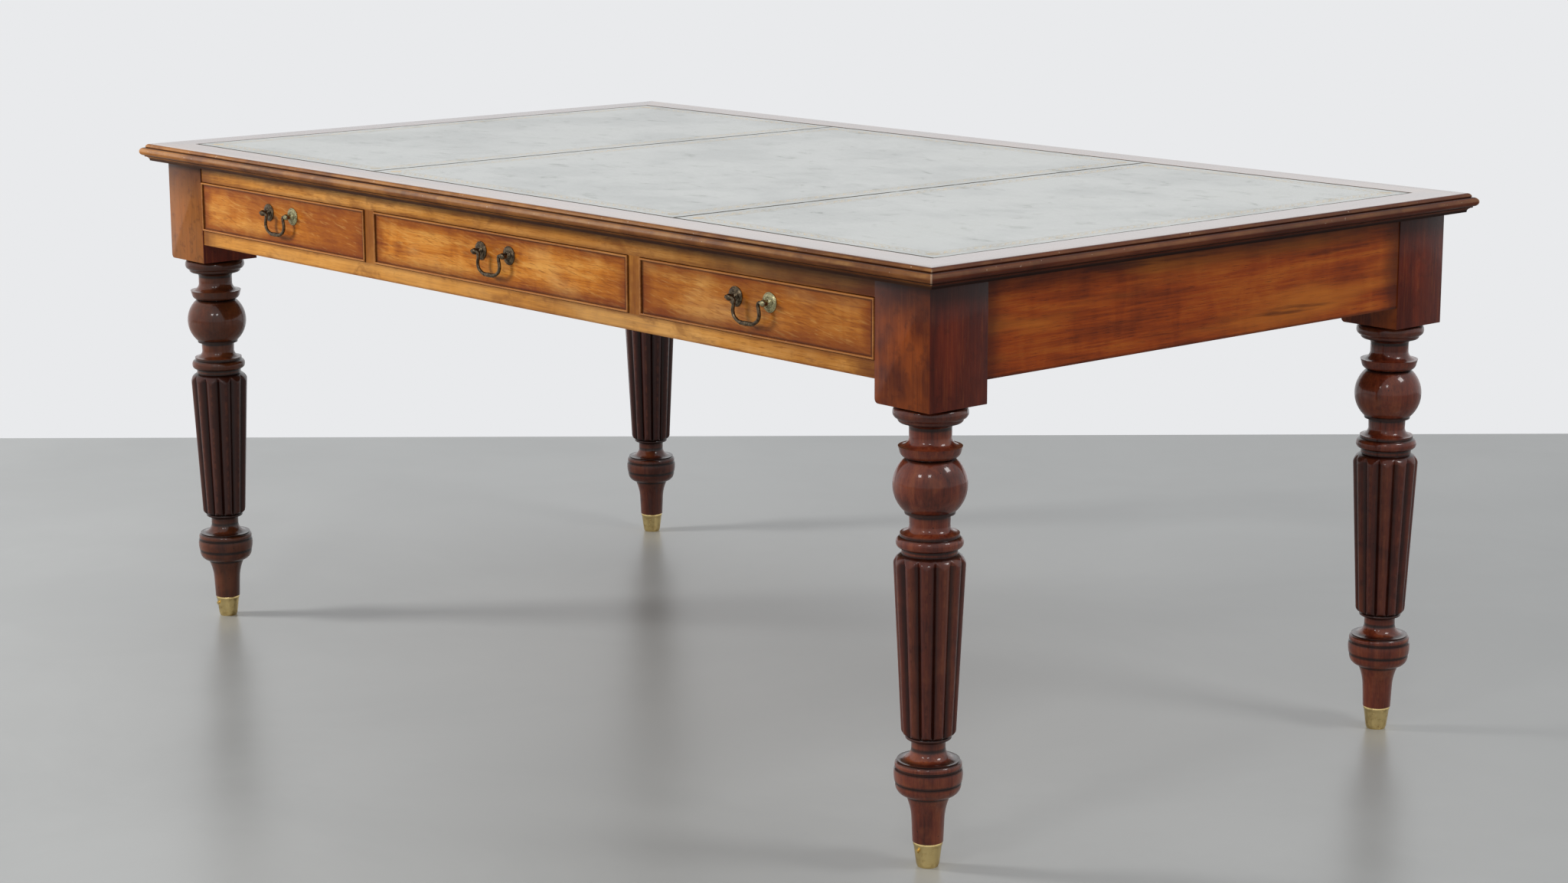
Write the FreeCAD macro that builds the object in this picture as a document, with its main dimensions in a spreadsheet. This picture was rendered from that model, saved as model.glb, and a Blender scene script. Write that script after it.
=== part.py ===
import FreeCAD, Part
import math
import operator
import os
import Sketcher
from FreeCAD import Placement, Rotation, Vector

# Partners' writing table: a leather-lined top on a frieze with three drawers in each long side,
# on four turned and reeded legs in brass foot caps.
# Lengths are in mm. The floor is z = 0, the origin is under the middle of the table, X runs along
# the long sides and Y from the front long side (negative) to the back one (positive).

SIZES = {
    # overall
    "desk_height": 770,
    "top_length": 1815,
    "top_width": 1051,
    "top_thick": 26.5,
    "overhang_long": 34.5,
    "overhang_deep": 32,
    # top: borders, moulding, core and leather
    "border_width": 52,
    "nose_out": 12.9,
    "top_bead_out": 5.6,
    "top_bead_drop": 4.4,
    "quirk_in": 0.8,
    "quirk_drop": 1.0,
    "round_start_out": 6.8,
    "round_height": 12.4,
    "fillet_drop": 1.8,
    "cove_end_out": 0.8,
    "tongue_long": 8,
    "tongue_thick": 8,
    "tongue_rise": 7,
    "leather_thick": 1.3,
    "leather_sink": 0.2,
    "leather_seam": 0.4,
    "middle_panel": 696,
    # frieze
    "rail_recess": 1.5,
    "top_rail_thick": 25,
    "bottom_rail_thick": 22,
    "opening_height": 78,
    "rail_depth": 70,
    "end_rail_thick": 25,
    "middle_opening": 595.6,
    "divider_width": 23.6,
    "centre_rail_thick": 20,
    "tenon_long": 30,
    "tenon_shoulder": 6,
    "stub_tenon": 10,
    # runners, guides, kickers and stops
    "runner_thick": 20,
    "end_runner_width": 40,
    "middle_runner_width": 80,
    "guide_rise": 20,
    "guide_width": 20,
    "kicker_thick": 18,
    "stop_thick": 8,
    "stop_width": 30,
    "stop_rise": 5,
    "stop_apart": 120,
    "stop_gap": 0.2,
    # drawers
    "drawer_gap": 0.8,
    "front_thick": 20,
    "front_lap": 8,
    "cock_bead": 3,
    "cock_bead_deep": 11,
    "cock_bead_proud": 2.5,
    "side_thick": 9,
    "side_drop": 5,
    "back_drop": 8,
    "bottom_thick": 6,
    "bottom_raise": 10,
    "groove_deep": 5,
    "back_gap": 6,
    # handles
    "post_apart": 66,
    "handle_rise": 9.5,
    "rose_radius": 12.5,
    "rose_rim": 1.0,
    "rose_dome": 3.6,
    "post_collar": 5.4,
    "post_neck": 3.3,
    "pivot_out": 11.4,
    "ball_radius": 4.6,
    "shank_radius": 2,
    "shank_room": 0.1,
    "nut_width": 9,
    "nut_thick": 3,
    "bail_wire": 2,
    "pin_room": 0.05,
    "pin_stub": 1.8,
    "bail_top": 22.3,
    "bail_wide": 26.2,
    "bail_wide_drop": 22.5,
    "bail_foot": 12.5,
    "bail_drop": 29.6,
    "bail_bead_radius": 3.1,
    "bail_bead_long": 19,
    "bail_bead_end": 2.3,
    "bail_collar_radius": 2.8,
    "bail_collar_long": 1.6,
    "bail_elbow_bend": 3.5,
    "bail_limb_bend": 8.7,
    "bail_foot_bend": 13,
    # legs: the square block, then the turning from the block down
    "block_size": 97,
    "block_height": 155,
    "block_ease": 6,
    "upper_ring_radius": 46.6,
    "upper_ring_height": 17.2,
    "upper_ring_base": 40.6,
    "root_radius": 34,
    "thin_ring_base": 36.5,
    "thin_ring_height": 5.2,
    "upper_cove_height": 5.6,
    "upper_neck_radius": 26.4,
    "upper_neck_height": 13.5,
    "cup_flare_height": 10,
    "cup_radius": 39.8,
    "cup_rim_height": 5.5,
    "cup_round_radius": 38.2,
    "cup_round_height": 9.7,
    "cup_base_radius": 26.8,
    "ball_top_radius": 31,
    "leg_ball_radius": 46.3,
    "leg_ball_height": 65.8,
    "ball_base_radius": 32,
    "ball_fillet_height": 3.3,
    "ball_fillet_base": 31.4,
    "middle_neck_top": 25.9,
    "middle_neck_radius": 25.3,
    "middle_neck_height": 14.2,
    "middle_flare_height": 9.9,
    "column_fillet_radius": 36.9,
    "column_fillet_height": 4.1,
    "column_ring_root": 35.8,
    "column_ring_radius": 41.8,
    "column_ring_height": 15,
    "short_neck_radius": 34.8,
    "short_neck_height": 6.9,
    "shoulder_height": 15.6,
    "column_top_radius": 44.8,
    "reed_count": 12,
    "reed_depth": 4.6,
    "reed_pass": 0.3,
    # legs: the turning from the floor up
    "column_base_radius": 34.6,
    "column_base_height": 180.5,
    "base_round_height": 9.5,
    "base_round_radius": 27.4,
    "low_ring_radius": 29,
    "low_ring_height": 4.6,
    "low_neck_radius": 21.5,
    "low_neck_round": 3,
    "low_neck_height": 10.4,
    "dish_height": 13.2,
    "dish_radius": 39.3,
    "dish_edge": 0.8,
    "dish_groove_radius": 38.7,
    "drum_bead_radius": 41.8,
    "drum_bead_rise": 6.2,
    "drum_bead_fall": 1.7,
    "drum_bead_base": 41.2,
    "drum_groove_radius": 40.6,
    "drum_groove_height": 2.3,
    "drum_radius": 42.7,
    "drum_base_radius": 42,
    "drum_height": 16.8,
    "foot_groove_height": 1.3,
    "foot_ring_radius": 41.3,
    "foot_ring_height": 16.4,
    "foot_ring_base": 28.4,
    "ankle_height": 64,
    "ankle_radius": 20.8,
    "ankle_base": 19.4,
    # brass foot caps
    "cap_height": 33,
    "cap_rim_radius": 18.6,
    "cap_rim_height": 5.5,
    "cap_top_radius": 17.7,
    "cap_low_radius": 14.9,
    "cap_toe_height": 6,
    "cap_toe_radius": 12.9,
    "cap_floor": 4,
    "spigot_top_radius": 14.8,
    "spigot_low_radius": 12.2,
    "spigot_room": 0.05,
    # screws
    "cap_screw_height": 22.6,
    "cap_screw_head": 2.25,
    "cap_screw_sink": 0.6,
    "cap_screw_core": 1.3,
    "cap_screw_long": 11,
    "top_screw_head": 4.2,
    "top_screw_core": 2,
    "top_screw_long": 38,
    "top_screw_apart": 380,
    "top_screw_from_back": 18,
}

REED_TURN = -4.0             # degrees from the X axis to the first valley between two reeds
# The rise of an arc over its chord
QUARTER_ROUND = 0.207        # a quarter circle
EASY_ROUND = 0.17            # somewhat flatter than a quarter circle
SOFT_ROUND = 0.12            # a flat swelling
FLAT_ROUND = 0.05            # hardly curved

doc = FreeCAD.newDocument("partners_desk")
sheet = doc.addObject("Spreadsheet::Sheet", "Sizes")
for row, (alias, number) in enumerate(SIZES.items(), 1):
    sheet.set(f"A{row}", alias)
    sheet.set(f"B{row}", str(number))
    sheet.setAlias(f"B{row}", alias)
doc.recompute()

OPERATIONS = {"+": operator.add, "-": operator.sub, "*": operator.mul, "/": operator.truediv}


class Size:
    """A length in mm together with the expression that binds it to the sheet."""

    def __init__(self, value, text):
        self.value = value
        self.text = text

    def joined(self, sign, other, swapped=False):
        left, right = (size(other), self) if swapped else (self, size(other))
        value = OPERATIONS[sign](left.value, right.value)
        return Size(value, f"({left.text} {sign} {right.text})")

    def __add__(self, other):
        return self.joined("+", other)

    def __radd__(self, other):
        return self.joined("+", other, True)

    def __sub__(self, other):
        return self.joined("-", other)

    def __rsub__(self, other):
        return self.joined("-", other, True)

    def __mul__(self, other):
        return self.joined("*", other)

    def __rmul__(self, other):
        return self.joined("*", other, True)

    def __truediv__(self, other):
        return self.joined("/", other)

    def __neg__(self):
        return self.joined("*", -1)

    def far(self, other):
        """The distance to a point this far across and other up."""
        return Size(math.hypot(self.value, other.value), f"sqrt({self.text}^2 + {other.text}^2)")


def size(number):
    return number if isinstance(number, Size) else Size(float(number), repr(float(number)))


class Named:
    """Every size of the sheet as an attribute: s.top_thick."""

    def __getattr__(self, alias):
        return Size(float(SIZES[alias]), f"Sizes.{alias}")


s = Named()
ORIGIN = size(0)


def bind(thing, path, length):
    """Set a property, or a constraint of a sketch, by its expression."""
    thing.setExpression(path, length.text)


def box(name, across, along, up):
    """A board between two places on each axis, given in either order."""
    board = doc.addObject("Part::Box", name)
    for axis, side, ends in (("x", "Length", across), ("y", "Width", along), ("z", "Height", up)):
        low, high = sorted((size(end) for end in ends), key=lambda end: end.value)
        bind(board, f"Placement.Base.{axis}", low)
        bind(board, side, high - low)
    return board


def round_part(kind, name, place, turn, **sizes):
    """A cylinder or cone that starts at this place, its axis turned away from upright."""
    part = doc.addObject(kind, name)
    part.Placement = Placement(Vector(0, 0, 0), turn)
    for axis, length in zip("xyz", place):
        bind(part, f"Placement.Base.{axis}", size(length))
    for path, length in sizes.items():
        bind(part, path, size(length))
    return part


def cut(name, base, tool):
    result = doc.addObject("Part::Cut", name)
    result.Base = base
    result.Tool = tool
    return result


def fuse(name, pieces):
    result = doc.addObject("Part::MultiFuse", name)
    result.Shapes = pieces
    return result


def group(name, pieces):
    result = doc.addObject("Part::Compound", name)
    result.Links = pieces
    return result


def new_body(name, place=(ORIGIN, ORIGIN, ORIGIN), turn=0, roll=0):
    """A body whose origin is at a place on the table, rolled about Y and then turned about Z."""
    body = doc.addObject("PartDesign::Body", name)
    turned = Rotation(Vector(0, 0, 1), turn) * Rotation(Vector(0, 1, 0), roll)
    body.Placement = Placement(Vector(0, 0, 0), turned)
    for axis, length in zip("xyz", place):
        bind(body, f"Placement.Base.{axis}", size(length))
    return body


class Outline:
    """A closed outline of lines and arcs, drawn clockwise so that a positive bend swells outwards.

    The bend of an arc is its rise over its chord."""

    def __init__(self, across, up):
        self.points = [(size(across), size(up))]
        self.bends = []

    def to(self, across, up, bend=0):
        self.points.append((size(across), size(up)))
        self.bends.append(bend)
        return self

    def down(self, across, drop, bend=0):
        return self.to(across, self.points[-1][1] - drop, bend)

    def bead(self, crest, height):
        """A half-round moulding from here down, of this height, out to the crest and back."""
        root = self.points[-1][0]
        self.down(crest, height / 2, QUARTER_ROUND)
        return self.down(root, height / 2, QUARTER_ROUND)

    def step(self, across):
        return self.to(across, self.points[-1][1])

    def sketch(self, body, name, plane):
        """Draw the outline as a sketch on one of the body's own planes."""
        drawing = body.newObject("Sketcher::SketchObject", name)
        support = next(item for item in body.Origin.OriginFeatures if item.Role == plane)
        drawing.AttachmentSupport = [(support, "")]
        drawing.MapMode = "FlatFace"
        ends = list(zip(self.points, self.points[1:] + self.points[:1], self.bends + [0]))
        starts = [self.add_edge(drawing, start, end, bend) for start, end, bend in ends]
        for index, (edge, first, last, radius) in enumerate(starts):
            following = starts[(index + 1) % len(starts)]
            drawing.addConstraint(Sketcher.Constraint("Coincident", edge, last, following[0], following[1]))
        for (edge, first, last, radius), (across, up) in zip(starts, self.points):
            self.hold(drawing, "DistanceX", edge, first, across)
            self.hold(drawing, "DistanceY", edge, first, up)
            if radius:
                number = drawing.addConstraint(Sketcher.Constraint("Radius", edge, radius.value))
                bind(drawing, f"Constraints[{number}]", radius)
        return drawing

    @staticmethod
    def add_edge(drawing, start, end, bend):
        """Add a line or an arc, and say which of its ends is its first."""
        here = Vector(start[0].value, start[1].value, 0)
        there = Vector(end[0].value, end[1].value, 0)
        if not bend:
            return drawing.addGeometry(Part.LineSegment(here, there), False), 1, 2, None
        chord = (end[0] - start[0]).far(end[1] - start[1])
        radius = chord * (1 / (8 * abs(bend)) + abs(bend) / 2)
        along = (there - here).normalize()
        left = Vector(-along.y, along.x, 0)
        rise = chord.value * bend
        inwards = radius.value if bend > 0 else -radius.value
        centre = (here + there) * 0.5 + left * (rise - inwards)
        first, last = (there, here) if bend > 0 else (here, there)
        angles = [math.atan2(end.y - centre.y, end.x - centre.x) for end in (first, last)]
        arc = Part.ArcOfCircle(Part.Circle(centre, Vector(0, 0, 1), radius.value), *angles)
        edge = drawing.addGeometry(arc, False)
        return (edge, 2, 1, radius) if bend > 0 else (edge, 1, 2, radius)

    @staticmethod
    def hold(drawing, kind, edge, end, length):
        """Fix one coordinate of a point, measured from the sketch's origin."""
        if abs(length.value) < 1e-9:
            axis = -2 if kind == "DistanceX" else -1
            drawing.addConstraint(Sketcher.Constraint("PointOnObject", edge, end, axis))
            return
        if length.value > 0:
            constraint = Sketcher.Constraint(kind, -1, 1, edge, end, length.value)
        else:
            length = -length
            constraint = Sketcher.Constraint(kind, edge, end, -1, 1, length.value)
        number = drawing.addConstraint(constraint)
        bind(drawing, f"Constraints[{number}]", length)


def revolve(body, drawing, name, axis="V_Axis"):
    turned = body.newObject("PartDesign::Revolution", name)
    turned.Profile = drawing
    turned.ReferenceAxis = (drawing, [axis])
    turned.Angle = 360
    drawing.Visibility = False
    return turned


def pad(body, drawing, name, length):
    padded = body.newObject("PartDesign::Pad", name)
    padded.Profile = drawing
    padded.SideType = "Symmetric"
    bind(padded, "Length", length)
    return padded


nodes = []


def node(piece, name):
    """Give a finished sub-part the name of its file."""
    piece.Label = name
    nodes.append(piece)
    return piece


# Places that several pieces share
FRONT, BACK = -1, 1
LEFT, RIGHT = -1, 1
SIDE_NAMES = {FRONT: "front", BACK: "back"}
END_NAMES = {LEFT: "left", RIGHT: "right"}
UPRIGHT = Rotation()
ALONG_X = Rotation(Vector(0, 1, 0), 90)
OUTWARDS = {FRONT: Rotation(Vector(1, 0, 0), 90), BACK: Rotation(Vector(1, 0, 0), -90)}

flat_x = s.top_length / 2 - s.nose_out
flat_y = s.top_width / 2 - s.nose_out
leather_x = flat_x - s.border_width
leather_y = flat_y - s.border_width
under_top = s.desk_height - s.top_thick
opening_top = under_top - s.top_rail_thick
opening_base = opening_top - s.opening_height
frieze_base = opening_base - s.bottom_rail_thick
block_base = under_top - s.block_height
block_out_x = s.top_length / 2 - s.overhang_long
block_out_y = s.top_width / 2 - s.overhang_deep
block_in_x = block_out_x - s.block_size
block_in_y = block_out_y - s.block_size
leg_x = block_out_x - s.block_size / 2
leg_y = block_out_y - s.block_size / 2
face_y = block_out_y - s.rail_recess
rail_back_y = face_y - s.rail_depth
end_face_x = block_out_x - s.rail_recess
end_back_x = end_face_x - s.end_rail_thick
centre_y = s.centre_rail_thick / 2
divider_in = s.middle_opening / 2
divider_out = divider_in + s.divider_width
divider_mid = (divider_in + divider_out) / 2


# Top

def top_border(name, half_flat_long, half_flat_deep, turn):
    """One moulded border, drawn on the +Y side and turned to its own; its ends are mitred."""
    body = new_body(name, turn=turn)
    inner = half_flat_deep - s.border_width
    groove_top = under_top + s.tongue_rise + s.tongue_thick
    bead = half_flat_deep + s.top_bead_out
    round_start = half_flat_deep + s.round_start_out
    moulding = Outline(inner, under_top)
    moulding.to(inner, under_top + s.tongue_rise)
    moulding.to(inner + s.tongue_long, under_top + s.tongue_rise)
    moulding.to(inner + s.tongue_long, groove_top)
    moulding.to(inner, groove_top)
    moulding.to(inner, s.desk_height)
    moulding.to(half_flat_deep, s.desk_height)
    moulding.down(bead, s.top_bead_drop, EASY_ROUND)
    moulding.down(bead - s.quirk_in, s.quirk_drop)
    moulding.down(round_start, s.quirk_drop / 2)
    moulding.bead(half_flat_deep + s.nose_out, s.round_height)
    moulding.down(round_start, s.fillet_drop)
    moulding.to(half_flat_deep + s.cove_end_out, under_top, -QUARTER_ROUND)
    drawing = moulding.sketch(body, f"{name}_moulding", "YZ_Plane")
    past = s.nose_out + s.tongue_long
    long_way = 2 * (half_flat_long + past)
    pad(body, drawing, f"{name}_bar", long_way)
    for end in (LEFT, RIGHT):
        mitre = Outline(end * (half_flat_long - s.border_width - past), inner - past)
        mitre.to(end * (half_flat_long + past), half_flat_deep + past)
        mitre.to(end * (half_flat_long + 2 * past), half_flat_deep + past)
        mitre.to(end * (half_flat_long + 2 * past), inner - past)
        pocket = body.newObject("PartDesign::Pocket", f"{name}_mitre_{END_NAMES[end]}")
        pocket.Profile = mitre.sketch(body, f"{name}_mitre_line_{END_NAMES[end]}", "XY_Plane")
        pocket.Type = "ThroughAll"
        pocket.SideType = "Symmetric"
    return node(body, name)


def top_screws():
    """Screws up through the top rails into the core board, their heads sunk in the rails."""
    screws = []
    for side in (FRONT, BACK):
        for place in (-1.5, -0.5, 0.5, 1.5):
            here = (place * s.top_screw_apart, side * (rail_back_y + s.top_screw_from_back), opening_top)
            head = round_part("Part::Cone", "top_screw_head", here, UPRIGHT, Radius1=s.top_screw_head,
                              Radius2=s.top_screw_core, Height=s.top_screw_head - s.top_screw_core)
            core = round_part("Part::Cylinder", "top_screw_core", here, UPRIGHT,
                              Radius=s.top_screw_core, Height=s.top_screw_long)
            screws.append(fuse("top_screw", [head, core]))
    return node(group("top_screw_set", screws), "top_screws")


def leather(name, start, end):
    surface = s.desk_height - s.leather_sink
    return node(box(f"{name}_panel", (start, end), (-leather_y, leather_y),
                    (surface - s.leather_thick, surface)), name)


top_border("top_border_back", flat_x, flat_y, 0)
top_border("top_border_left", flat_y, flat_x, 90)
top_border("top_border_front", flat_x, flat_y, 180)
top_border("top_border_right", flat_y, flat_x, 270)
screw_set = top_screws()
core_top = s.desk_height - s.leather_sink - s.leather_thick
core_board = box("core_board", (-leather_x, leather_x), (-leather_y, leather_y), (under_top, core_top))
core_tongue = box("core_tongue", (-leather_x - s.tongue_long, leather_x + s.tongue_long),
                  (-leather_y - s.tongue_long, leather_y + s.tongue_long),
                  (under_top + s.tongue_rise, under_top + s.tongue_rise + s.tongue_thick))
node(cut("core_bored", fuse("core_whole", [core_board, core_tongue]), screw_set), "top_core")
seam = s.middle_panel / 2
leather("leather_left", -leather_x, -seam - s.leather_seam)
leather("leather_middle", -seam, seam)
leather("leather_right", seam + s.leather_seam, leather_x)


# Frieze: rails, dividers and what carries the drawers

def long_rail(name, side, low, high, cutters):
    """A rail along a long side, with a tenon at each end that enters the leg block."""
    shoulder = s.tenon_shoulder
    body = box(f"{name}_bar", (-block_in_x, block_in_x), (side * face_y, side * rail_back_y), (low, high))
    reach = block_in_x + s.tenon_long
    tenon = box(f"{name}_tenon", (-reach, reach),
                (side * (face_y - shoulder), side * (rail_back_y + 3 * shoulder)),
                (low + shoulder, high - shoulder))
    node(cut(f"{name}_joined", fuse(f"{name}_whole", [body, tenon]), group(f"{name}_cuts", cutters)), name)
    return tenon


def divider(side, end):
    """An upright between two drawers, with a stub tenon into each rail."""
    name = f"divider_{SIDE_NAMES[side]}_{END_NAMES[end]}"
    shoulder = s.tenon_shoulder
    upright = box(f"{name}_upright", (end * divider_in, end * divider_out),
                  (side * face_y, side * rail_back_y), (opening_base, opening_top))
    stub = box(f"{name}_stub", (end * (divider_in + shoulder), end * (divider_out - shoulder)),
               (side * (face_y - 2 * shoulder), side * (rail_back_y + 2 * shoulder)),
               (opening_base - s.stub_tenon, opening_top + s.stub_tenon))
    return fuse(name, [upright, stub]), stub


def end_rail(end, centre_tenon):
    """The rail across an end of the table, tenoned into both leg blocks."""
    name = f"end_rail_{END_NAMES[end]}"
    shoulder = s.tenon_shoulder
    board = box(f"{name}_board", (end * end_face_x, end * end_back_x), (-block_in_y, block_in_y),
                (frieze_base, under_top))
    reach = block_in_y + s.tenon_long
    tenon = box(f"{name}_tenon", (end * (end_face_x - shoulder), end * (end_back_x + shoulder)),
                (-reach, reach), (frieze_base + 2 * shoulder, under_top - 3 * shoulder))
    node(cut(f"{name}_joined", fuse(f"{name}_whole", [board, tenon]), centre_tenon), name)
    return tenon


def bearers(side):
    """Runners with their guide strips, and kickers, from a long rail back to the centre rail."""
    reach = (side * rail_back_y, side * centre_y)
    behind_leg = (side * block_in_y, side * centre_y)
    under = (opening_base - s.runner_thick, opening_base)
    over = (opening_top, opening_top + s.kicker_thick)
    guide = (opening_base, opening_base + s.guide_rise)
    runners, kickers = [], []
    for end in (LEFT, RIGHT):
        outer = (end * (block_in_x - s.end_runner_width), end * block_in_x)
        beside = (end * block_in_x, end * (block_in_x + s.guide_width))
        middle = (end * (divider_mid - s.middle_runner_width / 2),
                  end * (divider_mid + s.middle_runner_width / 2))
        above = (end * divider_in, end * divider_out)
        runners.append(box("end_runner", outer, reach, under))
        runners.append(box("end_guide", beside, behind_leg, (under[0], guide[1])))
        runners.append(box("middle_runner", middle, reach, under))
        runners.append(box("middle_guide", above, reach, guide))
        kickers.append(box("end_kicker", outer, reach, over))
        kickers.append(box("middle_kicker", middle, reach, over))
    return runners, kickers


def stops(side, middle):
    """Two small blocks on the bottom rail, just behind where a drawer's front comes to rest."""
    start = face_y - s.front_thick - s.stop_gap
    blocks = []
    for place in (-s.stop_apart / 2, s.stop_apart / 2):
        blocks.append(box("stop", (middle + place - s.stop_width / 2, middle + place + s.stop_width / 2),
                          (side * start, side * (start - s.stop_thick)),
                          (opening_base, opening_base + s.stop_rise)))
    return blocks


divider_parts = {(side, end): divider(side, end) for side in (FRONT, BACK) for end in (LEFT, RIGHT)}
node(group("divider_set", [upright for upright, stub in divider_parts.values()]), "drawer_dividers")

centre_board = box("centre_board", (-end_back_x, end_back_x), (-centre_y, centre_y), (frieze_base, under_top))
centre_reach = end_back_x + s.stub_tenon
centre_tenon = box("centre_tenon", (-centre_reach, centre_reach),
                   (-centre_y + s.tenon_shoulder, centre_y - s.tenon_shoulder),
                   (frieze_base + 3 * s.tenon_shoulder, under_top - 3 * s.tenon_shoulder))
node(fuse("centre_whole", [centre_board, centre_tenon]), "centre_rail")

end_tenons = {end: end_rail(end, centre_tenon) for end in (LEFT, RIGHT)}
long_tenons = {}
for side in (FRONT, BACK):
    stubs = [divider_parts[side, end][1] for end in (LEFT, RIGHT)]
    top_tenon = long_rail(f"top_rail_{SIDE_NAMES[side]}", side, opening_top, under_top, stubs + [screw_set])
    bottom_tenon = long_rail(f"bottom_rail_{SIDE_NAMES[side]}", side, frieze_base, opening_base, stubs)
    long_tenons[side] = [top_tenon, bottom_tenon]

all_runners, all_kickers, all_stops = [], [], []
side_middle = (divider_out + block_in_x) / 2
drawer_middles = {"left": -side_middle, "middle": ORIGIN, "right": side_middle}
for side in (FRONT, BACK):
    side_runners, side_kickers = bearers(side)
    all_runners += side_runners
    all_kickers += side_kickers
    for middle in drawer_middles.values():
        all_stops += stops(side, middle)
node(group("runner_set", all_runners), "drawer_runners")
node(group("kicker_set", all_kickers), "drawer_kickers")
node(group("stop_set", all_stops), "drawer_stops")


# Legs and foot caps

upper_turning = (s.upper_ring_height + s.thin_ring_height + s.upper_cove_height + s.upper_neck_height
                 + s.cup_flare_height + s.cup_rim_height + s.cup_round_height + s.leg_ball_height
                 + s.ball_fillet_height + s.middle_neck_height + s.middle_flare_height
                 + s.column_fillet_height + s.column_ring_height + s.short_neck_height)
cap_slope = (s.cap_top_radius - s.cap_low_radius) / (s.cap_height - s.cap_rim_height - s.cap_toe_height)
cap_screw_out = (s.cap_low_radius + cap_slope * (s.cap_screw_height - s.cap_toe_height)
                 - s.cap_screw_sink)


def leg_outline():
    """Half of the turning's section, from the block down to the spigot inside the cap."""
    half = Outline(0, block_base + s.stub_tenon)
    half.to(s.root_radius, block_base + s.stub_tenon)
    half.to(s.root_radius, block_base)
    half.step(s.upper_ring_radius - s.upper_ring_height / 2)
    half.down(s.upper_ring_radius, s.upper_ring_height / 2, QUARTER_ROUND)
    half.down(s.upper_ring_base, s.upper_ring_height / 2, QUARTER_ROUND)
    half.down(s.thin_ring_base, s.thin_ring_height, QUARTER_ROUND)
    half.down(s.upper_neck_radius, s.upper_cove_height, -QUARTER_ROUND)
    half.down(s.upper_neck_radius, s.upper_neck_height)
    half.down(s.cup_radius, s.cup_flare_height, -QUARTER_ROUND)
    half.down(s.cup_round_radius, s.cup_rim_height)
    half.down(s.cup_base_radius, s.cup_round_height, QUARTER_ROUND)
    half.step(s.ball_top_radius)
    swell = s.leg_ball_radius.value - (s.ball_top_radius.value + s.ball_base_radius.value) / 2
    half.down(s.ball_base_radius, s.leg_ball_height, swell / s.leg_ball_height.value)
    half.down(s.ball_fillet_base, s.ball_fillet_height)
    half.step(s.middle_neck_top)
    half.down(s.middle_neck_radius, s.middle_neck_height)
    half.down(s.column_fillet_radius, s.middle_flare_height, -QUARTER_ROUND)
    half.down(s.column_fillet_radius, s.column_fillet_height)
    half.step(s.column_ring_root)
    half.bead(s.column_ring_radius, s.column_ring_height)
    half.step(s.short_neck_radius)
    half.down(s.short_neck_radius, s.short_neck_height)
    half.down(s.column_top_radius, s.shoulder_height, EASY_ROUND)
    half.to(s.column_base_radius, s.column_base_height)
    half.down(s.base_round_radius, s.base_round_height, QUARTER_ROUND)
    half.step(s.low_ring_radius - s.low_ring_height / 2)
    half.bead(s.low_ring_radius, s.low_ring_height)
    half.down(s.low_neck_radius, s.low_neck_round, -QUARTER_ROUND)
    half.down(s.low_neck_radius, s.low_neck_height)
    half.down(s.dish_radius, s.dish_height, -QUARTER_ROUND)
    half.down(s.dish_radius, s.dish_edge)
    half.down(s.dish_groove_radius, s.dish_edge)
    half.down(s.drum_bead_radius, s.drum_bead_rise, QUARTER_ROUND)
    half.down(s.drum_bead_base, s.drum_bead_fall, QUARTER_ROUND)
    half.step(s.drum_groove_radius)
    half.down(s.drum_groove_radius, s.drum_groove_height)
    half.step(s.drum_radius)
    half.down(s.drum_base_radius, s.drum_height, FLAT_ROUND)
    half.step(s.drum_groove_radius)
    half.down(s.drum_groove_radius, s.foot_groove_height)
    half.step(s.foot_ring_radius)
    half.down(s.foot_ring_base, s.foot_ring_height, QUARTER_ROUND)
    half.to(s.ankle_radius, s.ankle_height, -FLAT_ROUND)
    half.to(s.ankle_base, s.cap_height)
    half.to(s.spigot_top_radius, s.cap_height)
    half.to(s.spigot_low_radius, s.cap_floor)
    half.to(0, s.cap_floor)
    return half


def reed_cutter(name, place):
    """The waste between the reeds: a plain sleeve less the tapered column of rounded reeds.

    Each reed is an arc in plan that just passes the turned surface at its crest."""
    high = block_base.value - upper_turning.value
    low = s.column_base_height.value - s.base_round_height.value
    shoulder_base = high - s.shoulder_height.value
    slope = ((s.column_top_radius.value - s.column_base_radius.value)
             / (shoulder_base - s.column_base_height.value))
    pitch = 2 * math.pi / SIZES["reed_count"]

    def ring(level):
        surface = s.column_base_radius.value + slope * (level - s.column_base_height.value)
        crest = surface + s.reed_pass.value
        valley = crest - s.reed_depth.value * crest / s.column_top_radius.value
        edges = []
        for number in range(SIZES["reed_count"]):
            corners = []
            for radius, step in ((valley, number), (crest, number + 0.5), (valley, number + 1)):
                angle = step * pitch
                corners.append(Vector(radius * math.cos(angle), radius * math.sin(angle), level))
            edges.append(Part.Arc(*corners).toShape())
        return Part.Wire(edges)

    reeds = Part.makeLoft([ring(low), ring(high)], True, True)
    sleeve = Part.makeCylinder(s.block_size.value, high - low, Vector(0, 0, low))
    cutter = doc.addObject("Part::Feature", name)
    cutter.Shape = sleeve.cut(reeds)
    cutter.Placement = Placement(Vector(0, 0, 0), Rotation(Vector(0, 0, 1), REED_TURN))
    for axis, length in zip("xy", place):
        bind(cutter, f"Placement.Base.{axis}", length)
    return cutter


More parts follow.
